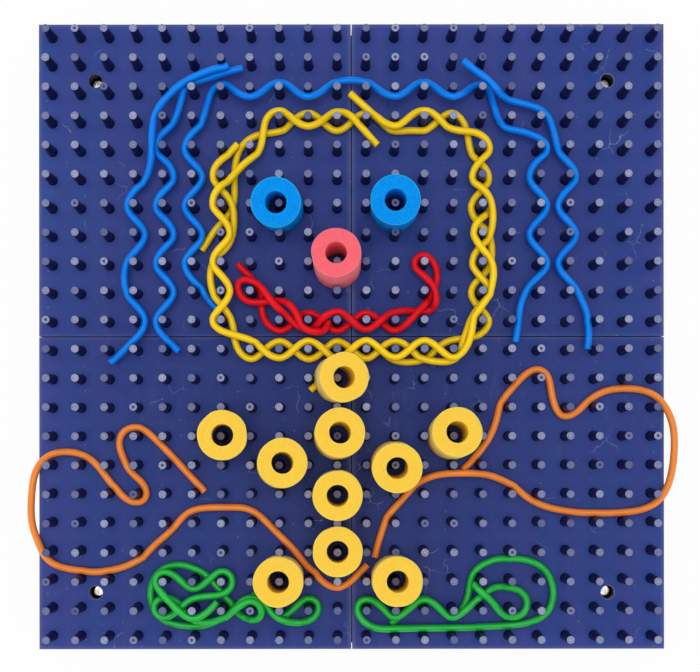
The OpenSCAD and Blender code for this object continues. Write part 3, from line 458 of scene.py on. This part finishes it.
def cordFinish(name, colour, dark, glint):
    finish, tree, shader = startFinish(name)
    coords = addNode(tree, "ShaderNodeTexCoord", {}).outputs["UV"]  # along the cord, and round it
    streaks = noiseOf(tree, stretched(tree, coords, (14, 9, 1)), 1.0, 4, 0.6)
    blotches = noiseOf(tree, objectCoords(tree), 55, 3)
    grain = noiseOf(tree, objectCoords(tree), 1700, 2)
    tone = blendColours(tree, ranged(tree, streaks, 0.3, 0.75), colour, dark)
    tone = blendColours(tree, ranged(tree, blotches, 0.52, 0.8, 0, 0.35), tone, dark)
    wire(tree, tone, shader, "Base Color")
    wire(tree, ranged(tree, blotches, 0.3, 0.7, 0.28, 0.36), shader, "Roughness")
    shader.inputs["Specular IOR Level"].default_value = cordMake["gloss"]
    shader.inputs["Specular Tint"].default_value = glint
    height = reckon(tree, "ADD", streaks, reckon(tree, "MULTIPLY", grain, 0.35))
    wire(tree, bumpOf(tree, height, 0.12, 0.0004), shader, "Normal")
    return finish


cordColours = {  # main, streaks, glint
    "blue": (paint(0, 132, 248), paint(0, 106, 228), paint(96, 206, 255)),
    "yellow": (paint(255, 216, 10), paint(246, 200, 2), paint(255, 240, 140)),
    "red": (paint(236, 26, 38), paint(214, 12, 26), paint(255, 90, 100)),
    "orange": (paint(252, 148, 66), paint(240, 126, 48), paint(255, 190, 130)),
    "green": (paint(18, 188, 64), paint(8, 160, 48), paint(170, 255, 190)),
}
cordFinishes = {c + "_cord": cordFinish(c + "Cord", *tones) for c, tones in cordColours.items()}


def sweepTube(path, radius, sides):
    run = np.gradient(path, axis=0)
    run /= np.linalg.norm(run, axis=1)[:, None]
    side = np.cross(run, [0, 0, 1])
    side /= np.linalg.norm(side, axis=1)[:, None]
    up = np.cross(side, run)
    angles = np.arange(sides) * 2 * math.pi / sides
    spokes = np.cos(angles)[None, :, None] * side[:, None, :]
    spokes = spokes + np.sin(angles)[None, :, None] * up[:, None, :]
    return (path[:, None, :] + radius[:, None, None] * spokes).reshape(-1, 3)


def makeCord(node):
    path, along = cordPath(cordRoutes[node])
    half, edge, sides = cordMake["diameter"] / 2, cordMake["cutEdge"], cordMake["sides"]
    # a narrow chamfer round each cut end
    ends = [path[0] + (path[1] - path[0]) * edge / cordMake["ringStep"],
            path[-1] + (path[-2] - path[-1]) * edge / cordMake["ringStep"]]
    rings = np.concatenate([[path[0]], [ends[0]], path[1:-1], [ends[1]], [path[-1]]])
    runs = np.concatenate([[0, edge], along[1:-1], [along[-1] - edge, along[-1]]])
    radius = np.full(len(rings), half)
    radius[[0, -1]] = half - edge * 0.7
    points = list(sweepTube(rings, radius, sides))
    faces = [f[::-1] for f in wallFaces(len(rings), sides)]
    points += [rings[0], rings[-1]]
    first, last = len(points) - 2, (len(rings) - 1) * sides
    faces += [(first, k, (k + 1) % sides) for k in range(sides)]
    faces += [(first + 1, last + (k + 1) % sides, last + k) for k in range(sides)]
    slot = node.split("_")[1] + "_cord"
    body = frame["nodes"][node]["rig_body"]
    piece = makePiece(node.replace("cord_", "woven_"), points, faces, cordFinishes[slot], body)
    layer = piece.data.uv_layers.new(name="run")
    uv = []
    for polygon in piece.data.polygons:
        ks = [v % sides for v in polygon.vertices]
        wraps = max(ks) - min(ks) > sides / 2
        for v, k in zip(polygon.vertices, ks):
            ring = min(v // sides, len(rings) - 1)
            uv += [runs[ring], (k + sides if wraps and k < sides / 2 else k) / sides]
    layer.data.foreach_set("uv", uv)
    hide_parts(node)
    print(node, "length", round(float(along[-1]), 4))
    return path


cordPaths = {node: makeCord(node) for node in cordRoutes}
print("cords laid")


# foam rings
ringMake = {
    "radius": 0.023,
    "hole": 0.0101,
    "height": 0.048,
    "seat": 0.0002,
    "edge": 0.0006,  # softened by the knife
    "pegGap": 0.0005,
    "giving": 0.9,  # share of the radius from which the foam gives way to pegs
    "around": 96,
    "dentRoom": 0.0004,
    "dentSpread": 0.003,
    "wobble": 0.00012,
    "proud": 0.00005,  # how far the wall may bulge
    "glow": 0.5,  # light that passes into the foam, and how far
    "glowDepth": 0.009,
    "gloss": 0.1,
}
ringPlaces = {  # peg column, row, lean of the top along x and y in metres
    "ring_blue_left": (8, 6, -0.0016, -0.005),
    "ring_blue_right": (12, 6, -0.0011, -0.0028),
    "ring_pink": (10, 8, -0.001, 0.0038),
    "ring_yellow_collar": (10, 12, 0.0065, -0.001),
    "ring_yellow_chest": (10, 14, 0.0026, 0.003),
    "ring_yellow_waist": (10, 16, 0.0002, -0.0004),
    "ring_yellow_hip": (10, 18, 0.0002, 0.003),
    "ring_yellow_left_outer": (6, 14, 0.004, 0.0007),
    "ring_yellow_left_inner": (8, 15, 0.0045, 0.0027),
    "ring_yellow_right_inner": (12, 15, 0.0003, -0.0025),
    "ring_yellow_right_outer": (14, 14, 0.0006, 0.0034),
    "ring_yellow_left_low": (8, 19, 0.0002, 0.0026),
    "ring_yellow_right_low": (12, 19, 0.0006, 0.003),
}


def foamFinish(name, colour, shade, fleck, paintedWallLight, through):
    finish, tree, shader = startFinish(name)
    coords = objectCoords(tree)
    wall, rim = (readAttribute(tree, n) for n in ("wall", "rim"))
    cells = addNode(tree, "ShaderNodeTexVoronoi", {"Vector": coords, "Scale": 1300}).outputs["Distance"]
    grain = noiseOf(tree, coords, 480, 5, 0.8)
    soft = noiseOf(tree, coords, 45, 2)
    drag = noiseOf(tree, stretched(tree, coords, (260, 260, 14)), 1.0, 3)
    tone = blendColours(tree, ranged(tree, grain, 0.36, 0.58, 0, 0.9), colour, shade)
    tone = blendColours(tree, ranged(tree, soft, 0.45, 0.75, 0, 0.3), tone, shade)
    tone = blendColours(tree, ranged(tree, grain, 0.6, 0.7, 0, 0.7), tone, fleck)
    # painted light and shade: the outer wall is set lighter than the top on the yellow and pink rings,
    # darker on the blue, as the light falls on it, and a painted highlight lies where the cut edge catches
    # the light
    wallLightShare = reckon(tree, "MULTIPLY", wall, ranged(tree, drag, 0.35, 0.65, 0.6, 1))
    tone = blendColours(tree, wallLightShare, tone, paintedWallLight)
    tone = blendColours(tree, reckon(tree, "MULTIPLY", rim, 0.5), tone, fleck)
    wire(tree, tone, shader, "Base Color")
    wire(tree, ranged(tree, grain, 0.3, 0.7, 0.86, 1), shader, "Roughness")
    height = reckon(tree, "ADD", reckon(tree, "MULTIPLY", cells, 0.6), grain)
    wire(tree, bumpOf(tree, height, 0.3, 0.0005), shader, "Normal")
    shader.inputs["Specular IOR Level"].default_value = ringMake["gloss"]
    shader.inputs["Subsurface Weight"].default_value = ringMake["glow"]
    shader.inputs["Subsurface Radius"].default_value = through
    shader.inputs["Subsurface Scale"].default_value = ringMake["glowDepth"]
    return finish


foamColours = {  # main, shade, fleck, the outer wall with painted light and shade, and how far each colour of light passes in
    "blue": (paint(4, 162, 246), paint(0, 136, 228), paint(80, 194, 254),
             paint(0, 126, 226), (0.3, 0.7, 1)),
    "pink": (paint(255, 122, 134), paint(250, 98, 114), paint(255, 160, 166),
             paint(255, 128, 142), (1, 0.5, 0.5)),
    "yellow": (paint(255, 214, 86), paint(250, 200, 66), paint(255, 228, 136),
               paint(255, 220, 124), (1, 0.8, 0.4)),
}
foamFinishes = {c + "_foam": foamFinish(c + "Foam", *tones) for c, tones in foamColours.items()}


def footHeights(xy):  # where the foam presses over a cord, its foot is lifted
    half, room = cordMake["diameter"] / 2, ringMake["dentRoom"]
    height = np.zeros(len(xy))
    for path in cordPaths.values():
        near = path[(np.abs(path[:, :2] - xy.mean(axis=0)) < 2 * ringMake["radius"]).all(axis=1)]
        if not len(near):
            continue
        far = np.linalg.norm(xy[:, None, :] - near[None, :, :2], axis=2)
        share = np.clip((half + room + ringMake["dentSpread"] - far) / ringMake["dentSpread"], 0, 1)
        lift = (near[None, :, 2] - faceZ + half + room) * share * share * (3 - 2 * share)
        height = np.maximum(height, lift.max(axis=1))
    return height


def makeRing(node):
    column, row, leanX, leanY = ringPlaces[node]
    outer, inner, high, edge = (ringMake[k] for k in ("radius", "hole", "height", "edge"))
    # the section, as radius and share of the height: foot, outer wall, top, wall of the hole
    section = [(r, 0.0) for r in np.linspace(inner, outer, 7)]
    section += [(outer, t) for t in np.linspace(0.06, 0.96, 16)]
    section += [(outer, 1 - edge / high), (outer - edge * 0.3, 1 - edge * 0.3 / high), (outer - edge, 1.0)]
    section += [(r, 1.0) for r in np.linspace(outer - edge, inner + edge, 6)[1:]]
    section += [(inner + edge * 0.3, 1 - edge * 0.3 / high), (inner, 1 - edge / high)]
    section += [(inner, t) for t in np.linspace(0.95, 0.06, 12)]
    around = ringMake["around"]
    angles = np.arange(around) * 2 * math.pi / around
    lean = np.array([leanX, leanY])
    foot = pegAt(column, row)
    rng = np.random.default_rng(column * 100 + row)
    wobble = sum(rng.normal(0, ringMake["wobble"]) * np.cos(n * angles + rng.uniform(0, 6))
                 for n in range(2, 7))
    wobble = np.minimum(wobble, ringMake["proud"])
    rows, walls, rims = [], [], []
    for radius, share in section:
        spoke = (radius + wobble * (radius - inner) / (outer - inner))[:, None]
        flat = spoke * np.stack([np.cos(angles), np.sin(angles)], axis=1)
        drop = flat @ lean / high  # the top leans with the ring
        low = footHeights(foot + flat)
        z = low * (1 - share) + share * (high - drop)
        xy = foot + flat + lean * (z / high)[:, None]
        if radius > outer * ringMake["giving"]:  # round the four pegs beside it
            for step in ((1, 0), (-1, 0), (0, 1), (0, -1)):
                peg = pegAt(column + step[0], row + step[1])
                away = xy - peg
                far = np.linalg.norm(away, axis=1)
                need = np.where(z < grid["height"], pegRadius(z) + ringMake["pegGap"], 0)
                xy = peg + away * np.maximum(need / far, 1)[:, None]
        rows.append(np.column_stack([xy, faceZ + ringMake["seat"] + z]))
        walls += [float(radius == outer and share > 0)] * around
        rims += [float(1 - edge / high <= share and radius > outer - edge)] * around
    points = np.concatenate(rows)
    count = len(rows)
    faces = wallFaces(count, around)
    last = (count - 1) * around
    faces += [(last + k, last + (k + 1) % around, (k + 1) % around, k) for k in range(around)]
    slot = node.split("_")[1] + "_foam"
    piece = makePiece(node.replace("ring_", "foam_"), points, faces, foamFinishes[slot],
                      frame["nodes"][node]["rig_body"])
    setAttribute(piece, "wall", walls)
    setAttribute(piece, "rim", rims)
    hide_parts(node)


for node in ringPlaces:
    makeRing(node)
print("foam rings pressed on")


# pegs
pegMake = {
    "around": 22,
    "round": 0.0005,  # softened rim of the tip
    "pitShare": 0.1,
    "nubShare": 0.4,
    # painted shade: the sides are the panel's navy plastic, set near black as little light falls on them
    "side": (paint(14, 19, 60), paint(25, 32, 84)),
    # the tips, worn and scratched pale, with a painted sheen
    "crown": (paint(92, 100, 144), paint(170, 174, 204)),
    "smudge": paint(84, 90, 134),
    "pit": paint(66, 71, 116),
    "gloss": 0.06,
    "seed": 41,
    "tips": {  # radius, depth below the rim, tip, pit
        "pit": ((0.0017, 0, 1, 0), (0.0013, 0.0003, 0.8, 0.6), (0.0007, 0.0008, 0.5, 1)),
        "nub": ((0.0021, 0.0002, 1, 0.3), (0.0013, 0.0001, 1, 0), (0.0006, 0, 1, 0)),
        "plain": ((0.0026, 0.0001, 1, 0.2), (0.0016, 0.0002, 1, 0), (0.0007, 0.0002, 1, 0.1)),
    },
}


def pegFinish():
    finish, tree, shader = startFinish("pegPlastic")
    coords = objectCoords(tree)
    tip, pit, wear = (readAttribute(tree, n) for n in ("tip", "pit", "wear"))
    mottle = noiseOf(tree, coords, 520, 4, 0.65)
    drag = noiseOf(tree, stretched(tree, coords, (900, 900, 60)), 1.0, 3)
    # painted shade on the sides, worn tips with a painted sheen on the crown
    side = blendColours(tree, mottle, *pegMake["side"])
    side = blendColours(tree, ranged(tree, drag, 0.62, 0.8, 0, 0.2), side, pegMake["pit"])
    crown = blendColours(tree, wear, *pegMake["crown"])
    crown = blendColours(tree, ranged(tree, mottle, 0.42, 0.68, 0, 0.6), crown, pegMake["smudge"])
    tone = blendColours(tree, tip, side, crown)
    tone = blendColours(tree, pit, tone, pegMake["pit"])
    wire(tree, tone, shader, "Base Color")
    wire(tree, ranged(tree, mottle, 0.3, 0.7, 0.26, 0.42), shader, "Roughness")
    wire(tree, bumpOf(tree, reckon(tree, "ADD", mottle, drag), 0.2, 0.0003), shader, "Normal")
    shader.inputs["Specular IOR Level"].default_value = pegMake["gloss"]
    return finish


def pegSection(kind):  # radius, height, tip, pit
    foot, tip, high, soft = grid["foot"] / 2, grid["tip"] / 2, grid["height"], pegMake["round"]
    section = [(foot + 0.0003, 0, 0, 0), (foot, 0.0005, 0, 0)]
    section += [(pegRadius(high * t), high * t, 0, 0) for t in (0.33, 0.66, 0.94)]
    section += [(tip, high - soft, 0.15, 0), (tip - soft * 0.3, high - soft * 0.3, 0.7, 0)]
    section += [(tip - soft, high, 1, 0)]
    section += [(r, high - deep, crown, pit) for r, deep, crown, pit in pegMake["tips"][kind]]
    return section


def makePegs(panel, firstColumn, firstRow, finish):
    rng = random.Random(pegMake["seed"] + firstColumn * 7 + firstRow)
    around = pegMake["around"]
    angles = np.arange(around) * 2 * math.pi / around
    spokes = np.stack([np.cos(angles), np.sin(angles)], axis=1)
    points, faces, tips, pits, wears = [], [], [], [], []
    for column in range(firstColumn, firstColumn + halfSide):
        for row in range(firstRow, firstRow + halfSide):
            draw = rng.random()
            kind = "pit" if draw < pegMake["pitShare"] else "nub" if draw < pegMake["nubShare"] else "plain"
            wear = rng.random()
            section = pegSection(kind)
            first = len(points)
            centre = pegAt(column, row)
            for radius, z, tip, pit in section:
                ring = np.column_stack([centre + radius * spokes, np.full(around, faceZ + z)])
                points += ring.tolist()
                tips += [tip] * around
                pits += [pit] * around
                wears += [wear] * around
            faces += wallFaces(len(section), around, first)
            top = len(points)
            points.append([centre[0], centre[1], faceZ + section[-1][1]])
            tips.append(section[-1][2])
            pits.append(section[-1][3])
            wears.append(wear)
            rim = top - around
            faces += [(rim + k, rim + (k + 1) % around, top) for k in range(around)]
    piece = makePiece("moulded_" + panel, points, faces, finish, "board")
    for name, values in (("tip", tips), ("pit", pits), ("wear", wears)):
        setAttribute(piece, name, values)
    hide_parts(panel)


pegPlastic = pegFinish()
for panel, column, row in (("pegs_top_left", 0, 0), ("pegs_top_right", halfSide, 0),
                           ("pegs_bottom_left", 0, halfSide), ("pegs_bottom_right", halfSide, halfSide)):
    makePegs(panel, column, row, pegPlastic)
print("pegs moulded")


# panels, screws and the board behind keep their CAD shape, the first two with softened edges
def softenEdges(node, width):
    piece = frame["nodes"][node]
    weld = piece.modifiers.new("weld", "WELD")
    weld.merge_threshold = 1e-6
    bevel = piece.modifiers.new("edge", "BEVEL")
    bevel.width = width
    bevel.segments = 2
    bevel.limit_method = "ANGLE"
    bevel.angle_limit = math.radians(40)
    piece.modifiers.new("shade", "WEIGHTED_NORMAL")


def dress(node, finish):
    data = frame["nodes"][node].data
    data.materials.clear()
    data.materials.append(finish)


panelMake = {
    "edge": 0.0003,  # softened by the mould
    "navy": (paint(46, 67, 144), paint(55, 77, 154)),
    "mottle": paint(39, 70, 153),
    "band": paint(63, 71, 149),
    "fleck": paint(88, 98, 158),
    # painted shade down the seams and screw wells
    "hollowShade": paint(7, 8, 22),
    "deep": paint(26, 44, 118),  # painted shade, darkest round paintedShadeAt
    "paintedShadeAt": (0, -0.07),
    # pale smudges, and painted sheen in strips along the seams
    "paleSheenAndSmudge": paint(130, 136, 172),
    # pale scratches and dust, and a painted highlight on each well's lip
    "paleMarksAndGleam": paint(170, 178, 206),
    "seamSheens": ((0.006, 0.42), (0.0042, 0.24)),  # painted sheen along each seam: reach, share
    "wellAt": 9 * grid["pitch"],
    "wellRadius": 0.0065,
    "wellRim": (0.0004, 0.0008),  # outside the well, where its painted shade fades out
    "seam": 0.0012,
    "sunk": (0.0022, 0.0004),  # below the face, from full painted shade to none
    "outerPale": (0.004, 0.3),  # reach and share
    "gloss": 0.14,
}


def scratches(tree, coords):  # short forked hairlines, in few places
    swirl = addNode(tree, "ShaderNodeTexNoise",
                    {"Vector": coords, "Scale": 90, "Detail": 3}).outputs["Color"]
    bent = addNode(tree, "ShaderNodeVectorMath", {0: swirl, 1: (0.012, 0.012, 0), 2: coords},
                   operation="MULTIPLY_ADD").outputs["Vector"]
    web = addNode(tree, "ShaderNodeTexVoronoi", {"Vector": bent, "Scale": 40},
                  feature="DISTANCE_TO_EDGE", voronoi_dimensions="2D").outputs["Distance"]
    thin = ranged(tree, web, 0.003, 0.013, 1, 0)
    here = ranged(tree, noiseOf(tree, coords, 24, 2), 0.62, 0.67)
    return reckon(tree, "MULTIPLY", thin, here)


def dust(tree, coords):  # pale specks, a few to each panel
    cells = addNode(tree, "ShaderNodeTexVoronoi", {"Vector": coords, "Scale": 55},
                    voronoi_dimensions="2D").outputs
    chosen = addNode(tree, "ShaderNodeSeparateXYZ", {"Vector": cells["Color"]}).outputs["X"]
    dot = ranged(tree, cells["Distance"], 0.016, 0.034, 1, 0)
    return reckon(tree, "MULTIPLY", dot, ranged(tree, chosen, 0.8, 0.95))


def fromWell(tree, across):
    off = [reckon(tree, "SUBTRACT", a, panelMake["wellAt"]) for a in across]
    return reckon(tree, "SQRT", reckon(tree, "ADD", *(reckon(tree, "MULTIPLY", d, d) for d in off)))


def shadeInHollows(tree, across, far, height):  # painted shade down a seam or a screw well
    near = [ranged(tree, a, panelMake["seam"], panelMake["seam"] * 2, 1, 0) for a in across]
    well = ranged(tree, far, *(panelMake["wellRadius"] + r for r in panelMake["wellRim"]), 1, 0)
    beside = reckon(tree, "MAXIMUM", reckon(tree, "MAXIMUM", *near), well)
    down = ranged(tree, height, *(faceZ - d for d in panelMake["sunk"]), 1, 0)
    return reckon(tree, "MULTIPLY", beside, down)


def panelFinish():
    finish, tree, shader = startFinish("panelPlastic")
    coords = objectCoords(tree)
    split = addNode(tree, "ShaderNodeSeparateXYZ", {"Vector": coords}).outputs
    across = [reckon(tree, "ABSOLUTE", split[axis]) for axis in ("X", "Y")]
    cloud = noiseOf(tree, coords, 7, 3, 0.55)
    mottle = noiseOf(tree, coords, 38, 4, 0.6, 0.4)
    speck = noiseOf(tree, coords, 800, 3, 0.7)
    bands = noiseOf(tree, stretched(tree, coords, (40, 3, 1)), 1.0, 2)
    tone = blendColours(tree, ranged(tree, cloud, 0.3, 0.7), *panelMake["navy"])
    tone = blendColours(tree, ranged(tree, mottle, 0.35, 0.75, 0, 0.45), tone, panelMake["mottle"])
    tone = blendColours(tree, ranged(tree, bands, 0.4, 0.62, 0, 0.7), tone, panelMake["band"])
    # painted sheen: lighter towards the edges, darkest round paintedShadeAt
    away = addNode(tree, "ShaderNodeVectorMath", {0: coords, 1: (*panelMake["paintedShadeAt"], faceZ)},
                   operation="DISTANCE").outputs["Value"]
    tone = blendColours(tree, ranged(tree, away, 0.06, 0.36, 0.78, 0), tone, panelMake["deep"])
    tone = blendColours(tree, ranged(tree, speck, 0.5, 0.72, 0, 0.3), tone, panelMake["fleck"])
    # painted sheen in pale strips along the seams, where the rounded panel edges catch the light, and a
    # paler strip along the outer edge
    outerReach, outerShare = panelMake["outerPale"]
    for (reach, share), off in zip(panelMake["seamSheens"], across):
        sheenFade = ranged(tree, off, 0.0002, reach, 1, 0)
        edge = ranged(tree, off, plateHalf - outerReach, plateHalf, 0, outerShare)
        seamGleam = reckon(tree, "MULTIPLY", reckon(tree, "POWER", sheenFade, 1.6), share)
        uneven = ranged(tree, mottle, 0.3, 0.6, 0.5, 1)
        paleStrips = reckon(tree, "MULTIPLY", reckon(tree, "ADD", seamGleam, edge), uneven)
        tone = blendColours(tree, paleStrips, tone, panelMake["paleSheenAndSmudge"])
    smear = noiseOf(tree, stretched(tree, coords, (60, 14, 1), 8), 1.0, 5, 0.65, 0.6)
    patch = ranged(tree, noiseOf(tree, coords, 11, 2), 0.55, 0.7)
    haze = reckon(tree, "MULTIPLY", ranged(tree, smear, 0.58, 0.8, 0, 0.2), patch)
    tone = blendColours(tree, haze, tone, panelMake["paleSheenAndSmudge"])
    scratch = scratches(tree, coords)
    specks = reckon(tree, "MULTIPLY", dust(tree, coords), 0.6)
    marks = reckon(tree, "MAXIMUM", reckon(tree, "MULTIPLY", scratch, 0.5), specks)
    tone = blendColours(tree, marks, tone, panelMake["paleMarksAndGleam"])
    far = fromWell(tree, across)
    # a pale broken ring at each well's lip: a burr with a painted highlight
    rim = reckon(tree, "ABSOLUTE", reckon(tree, "SUBTRACT", far, panelMake["wellRadius"]))
    broken = ranged(tree, mottle, 0.4, 0.6, 0, 0.6)
    lipGleam = reckon(tree, "MULTIPLY", ranged(tree, rim, 0.0002, 0.0006, 1, 0), broken)
    tone = blendColours(tree, lipGleam, tone, panelMake["paleMarksAndGleam"])
    # painted shade down the seams and screw wells
    tone = blendColours(tree, shadeInHollows(tree, across, far, split["Z"]), tone, panelMake["hollowShade"])
    wire(tree, tone, shader, "Base Color")
    dull = reckon(tree, "MULTIPLY", haze, 0.3)
    rough = reckon(tree, "ADD", ranged(tree, mottle, 0.3, 0.7, 0.4, 0.5), dull)
    wire(tree, rough, shader, "Roughness")
    height = reckon(tree, "ADD", speck, reckon(tree, "MULTIPLY", scratch, -0.6))
    wire(tree, bumpOf(tree, height, 0.06, 0.0003), shader, "Normal")
    shader.inputs["Specular IOR Level"].default_value = panelMake["gloss"]
    return finish


screwMake = {"edge": 0.0003, "bright": paint(222, 220, 216), "stained": paint(160, 156, 150)}


def steelFinish():
    finish, tree, shader = startFinish("screwSteel")
    coords = objectCoords(tree)
    turned = noiseOf(tree, stretched(tree, coords, (700, 700, 4000)), 1.0, 3)
    stain = noiseOf(tree, coords, 260, 3)
    tone = blendColours(tree, ranged(tree, stain, 0.5, 0.75), screwMake["bright"], screwMake["stained"])
    wire(tree, tone, shader, "Base Color")
    wire(tree, ranged(tree, stain, 0.3, 0.7, 0.16, 0.36), shader, "Roughness")
    wire(tree, bumpOf(tree, turned, 0.25, 0.0002), shader, "Normal")
    shader.inputs["Metallic"].default_value = 1
    return finish


boardMake = {
    "fibre": (paint(146, 108, 70), paint(190, 150, 104)),
    "cloud": paint(128, 92, 58),
    "seamShade": paint(14, 12, 12),
}


def boardFinish():
    finish, tree, shader = startFinish("fibreBoard")
    coords = objectCoords(tree)
    fibres = noiseOf(tree, stretched(tree, coords, (240, 90, 900), 20), 1.0, 5, 0.7, 0.8)
    cloud = noiseOf(tree, coords, 12, 3)
    tone = blendColours(tree, fibres, *boardMake["fibre"])
    tone = blendColours(tree, ranged(tree, cloud, 0.4, 0.7, 0, 0.4), tone, boardMake["cloud"])
    # painted shade: the board's top under the seams is set near black, where little light reaches down the
    # slots
    split = addNode(tree, "ShaderNodeSeparateXYZ", {"Vector": coords}).outputs
    near = reckon(tree, "MINIMUM", *(reckon(tree, "ABSOLUTE", split[axis]) for axis in ("X", "Y")))
    above = ranged(tree, split["Z"], 0.003, 0.006)
    seamShade = reckon(tree, "MULTIPLY", ranged(tree, near, 0.002, 0.005, 1, 0), above)
    tone = blendColours(tree, seamShade, tone, boardMake["seamShade"])
    wire(tree, tone, shader, "Base Color")
    wire(tree, ranged(tree, fibres, 0.3, 0.7, 0.7, 0.9), shader, "Roughness")
    wire(tree, bumpOf(tree, fibres, 0.3, 0.0006), shader, "Normal")
    return finish


panelPlastic = panelFinish()
for corner in ("top_left", "top_right", "bottom_left", "bottom_right"):
    softenEdges("panel_" + corner, panelMake["edge"])
    dress("panel_" + corner, panelPlastic)
screwSteel = steelFinish()
for node in ("corner_screws", "rear_screws"):
    softenEdges(node, screwMake["edge"])
    dress(node, screwSteel)
dress("back_board", boardFinish())  # sawn square, so its edges stay sharp
print("panels, screws and board finished")


# floor, lamps and backdrop
stageMake = {
    "floor": 12.0,
    "floorTone": 0.95,
    "floorGlow": 0.93,  # share of plain white that the camera sees, the rest takes the shadow
    "horizon": 1.0,
    "sky": 0.55,
    "skyRise": (0.2, 0.45),  # from the horizon's strength to the sky's
    "lamps": [  # place, size, watts
        ((-1.5, -1.1, 1.15), (1.2, 0.9), 2.6),
        ((1.5, -1.1, 1.15), (1.2, 0.9), 2),
        ((-1.5, 0.9, 1.15), (1.2, 0.9), 2.2),
        ((1.5, 0.9, 1.15), (1.2, 0.9), 2),
        ((-0.1, 0, 2.2), (2, 2), 19),
    ],
}


def plainlySeen(tree):  # by the camera, in a mirror or through glass
    path = addNode(tree, "ShaderNodeLightPath", {}).outputs
    seen = reckon(tree, "MAXIMUM", path["Is Camera Ray"], path["Is Glossy Ray"])
    return reckon(tree, "MAXIMUM", seen, path["Is Transmission Ray"])


def layFloor():
    reach = stageMake["floor"] / 2
    mesh = bpy.data.meshes.new("floor")
    mesh.from_pydata([(-reach, -reach, 0), (reach, -reach, 0), (reach, reach, 0), (-reach, reach, 0)], [],
                     [(0, 1, 2, 3)])
    floor = bpy.data.objects.new("floor", mesh)
    scene.collection.objects.link(floor)
    finish, tree, shader = startFinish("paleFloor")
    shader.inputs["Base Color"].default_value = (*[stageMake["floorTone"]] * 3, 1)
    shader.inputs["Roughness"].default_value = 0.9
    seen = plainlySeen(tree)
    glow = addNode(tree, "ShaderNodeEmission", {"Color": (1, 1, 1, 1), "Strength": 1.0}).outputs["Emission"]
    share = reckon(tree, "MULTIPLY", seen, stageMake["floorGlow"])
    mixed = addNode(tree, "ShaderNodeMixShader", {0: share, 1: shader.outputs["BSDF"], 2: glow})
    tree.links.new(mixed.outputs["Shader"], tree.nodes["Material Output"].inputs["Surface"])
    mesh.materials.append(finish)


def hangLamps():
    for i, (place, size, watts) in enumerate(stageMake["lamps"]):
        data = bpy.data.lights.new(f"lamp{i}", "AREA")
        data.shape = "RECTANGLE"
        data.size, data.size_y = size
        data.energy = watts
        lamp = bpy.data.objects.new(f"lamp{i}", data)
        scene.collection.objects.link(lamp)
        lamp.location = place
        lamp.rotation_euler = (-Vector(place)).to_track_quat("-Z", "Y").to_euler()


def lightWorld():
    world = bpy.data.worlds.new("studio")
    scene.world = world
    world.use_nodes = True
    tree = world.node_tree
    back = tree.nodes["Background"]
    back.inputs["Color"].default_value = (1, 1, 1, 1)
    way = addNode(tree, "ShaderNodeTexCoord", {}).outputs["Generated"]
    rise = addNode(tree, "ShaderNodeSeparateXYZ", {"Vector": way}).outputs["Z"]
    strength = ranged(tree, rise, *stageMake["skyRise"], stageMake["horizon"], stageMake["sky"])
    wire(tree, strength, back, "Strength")


layFloor()
hangLamps()
lightWorld()
print("stage lit")
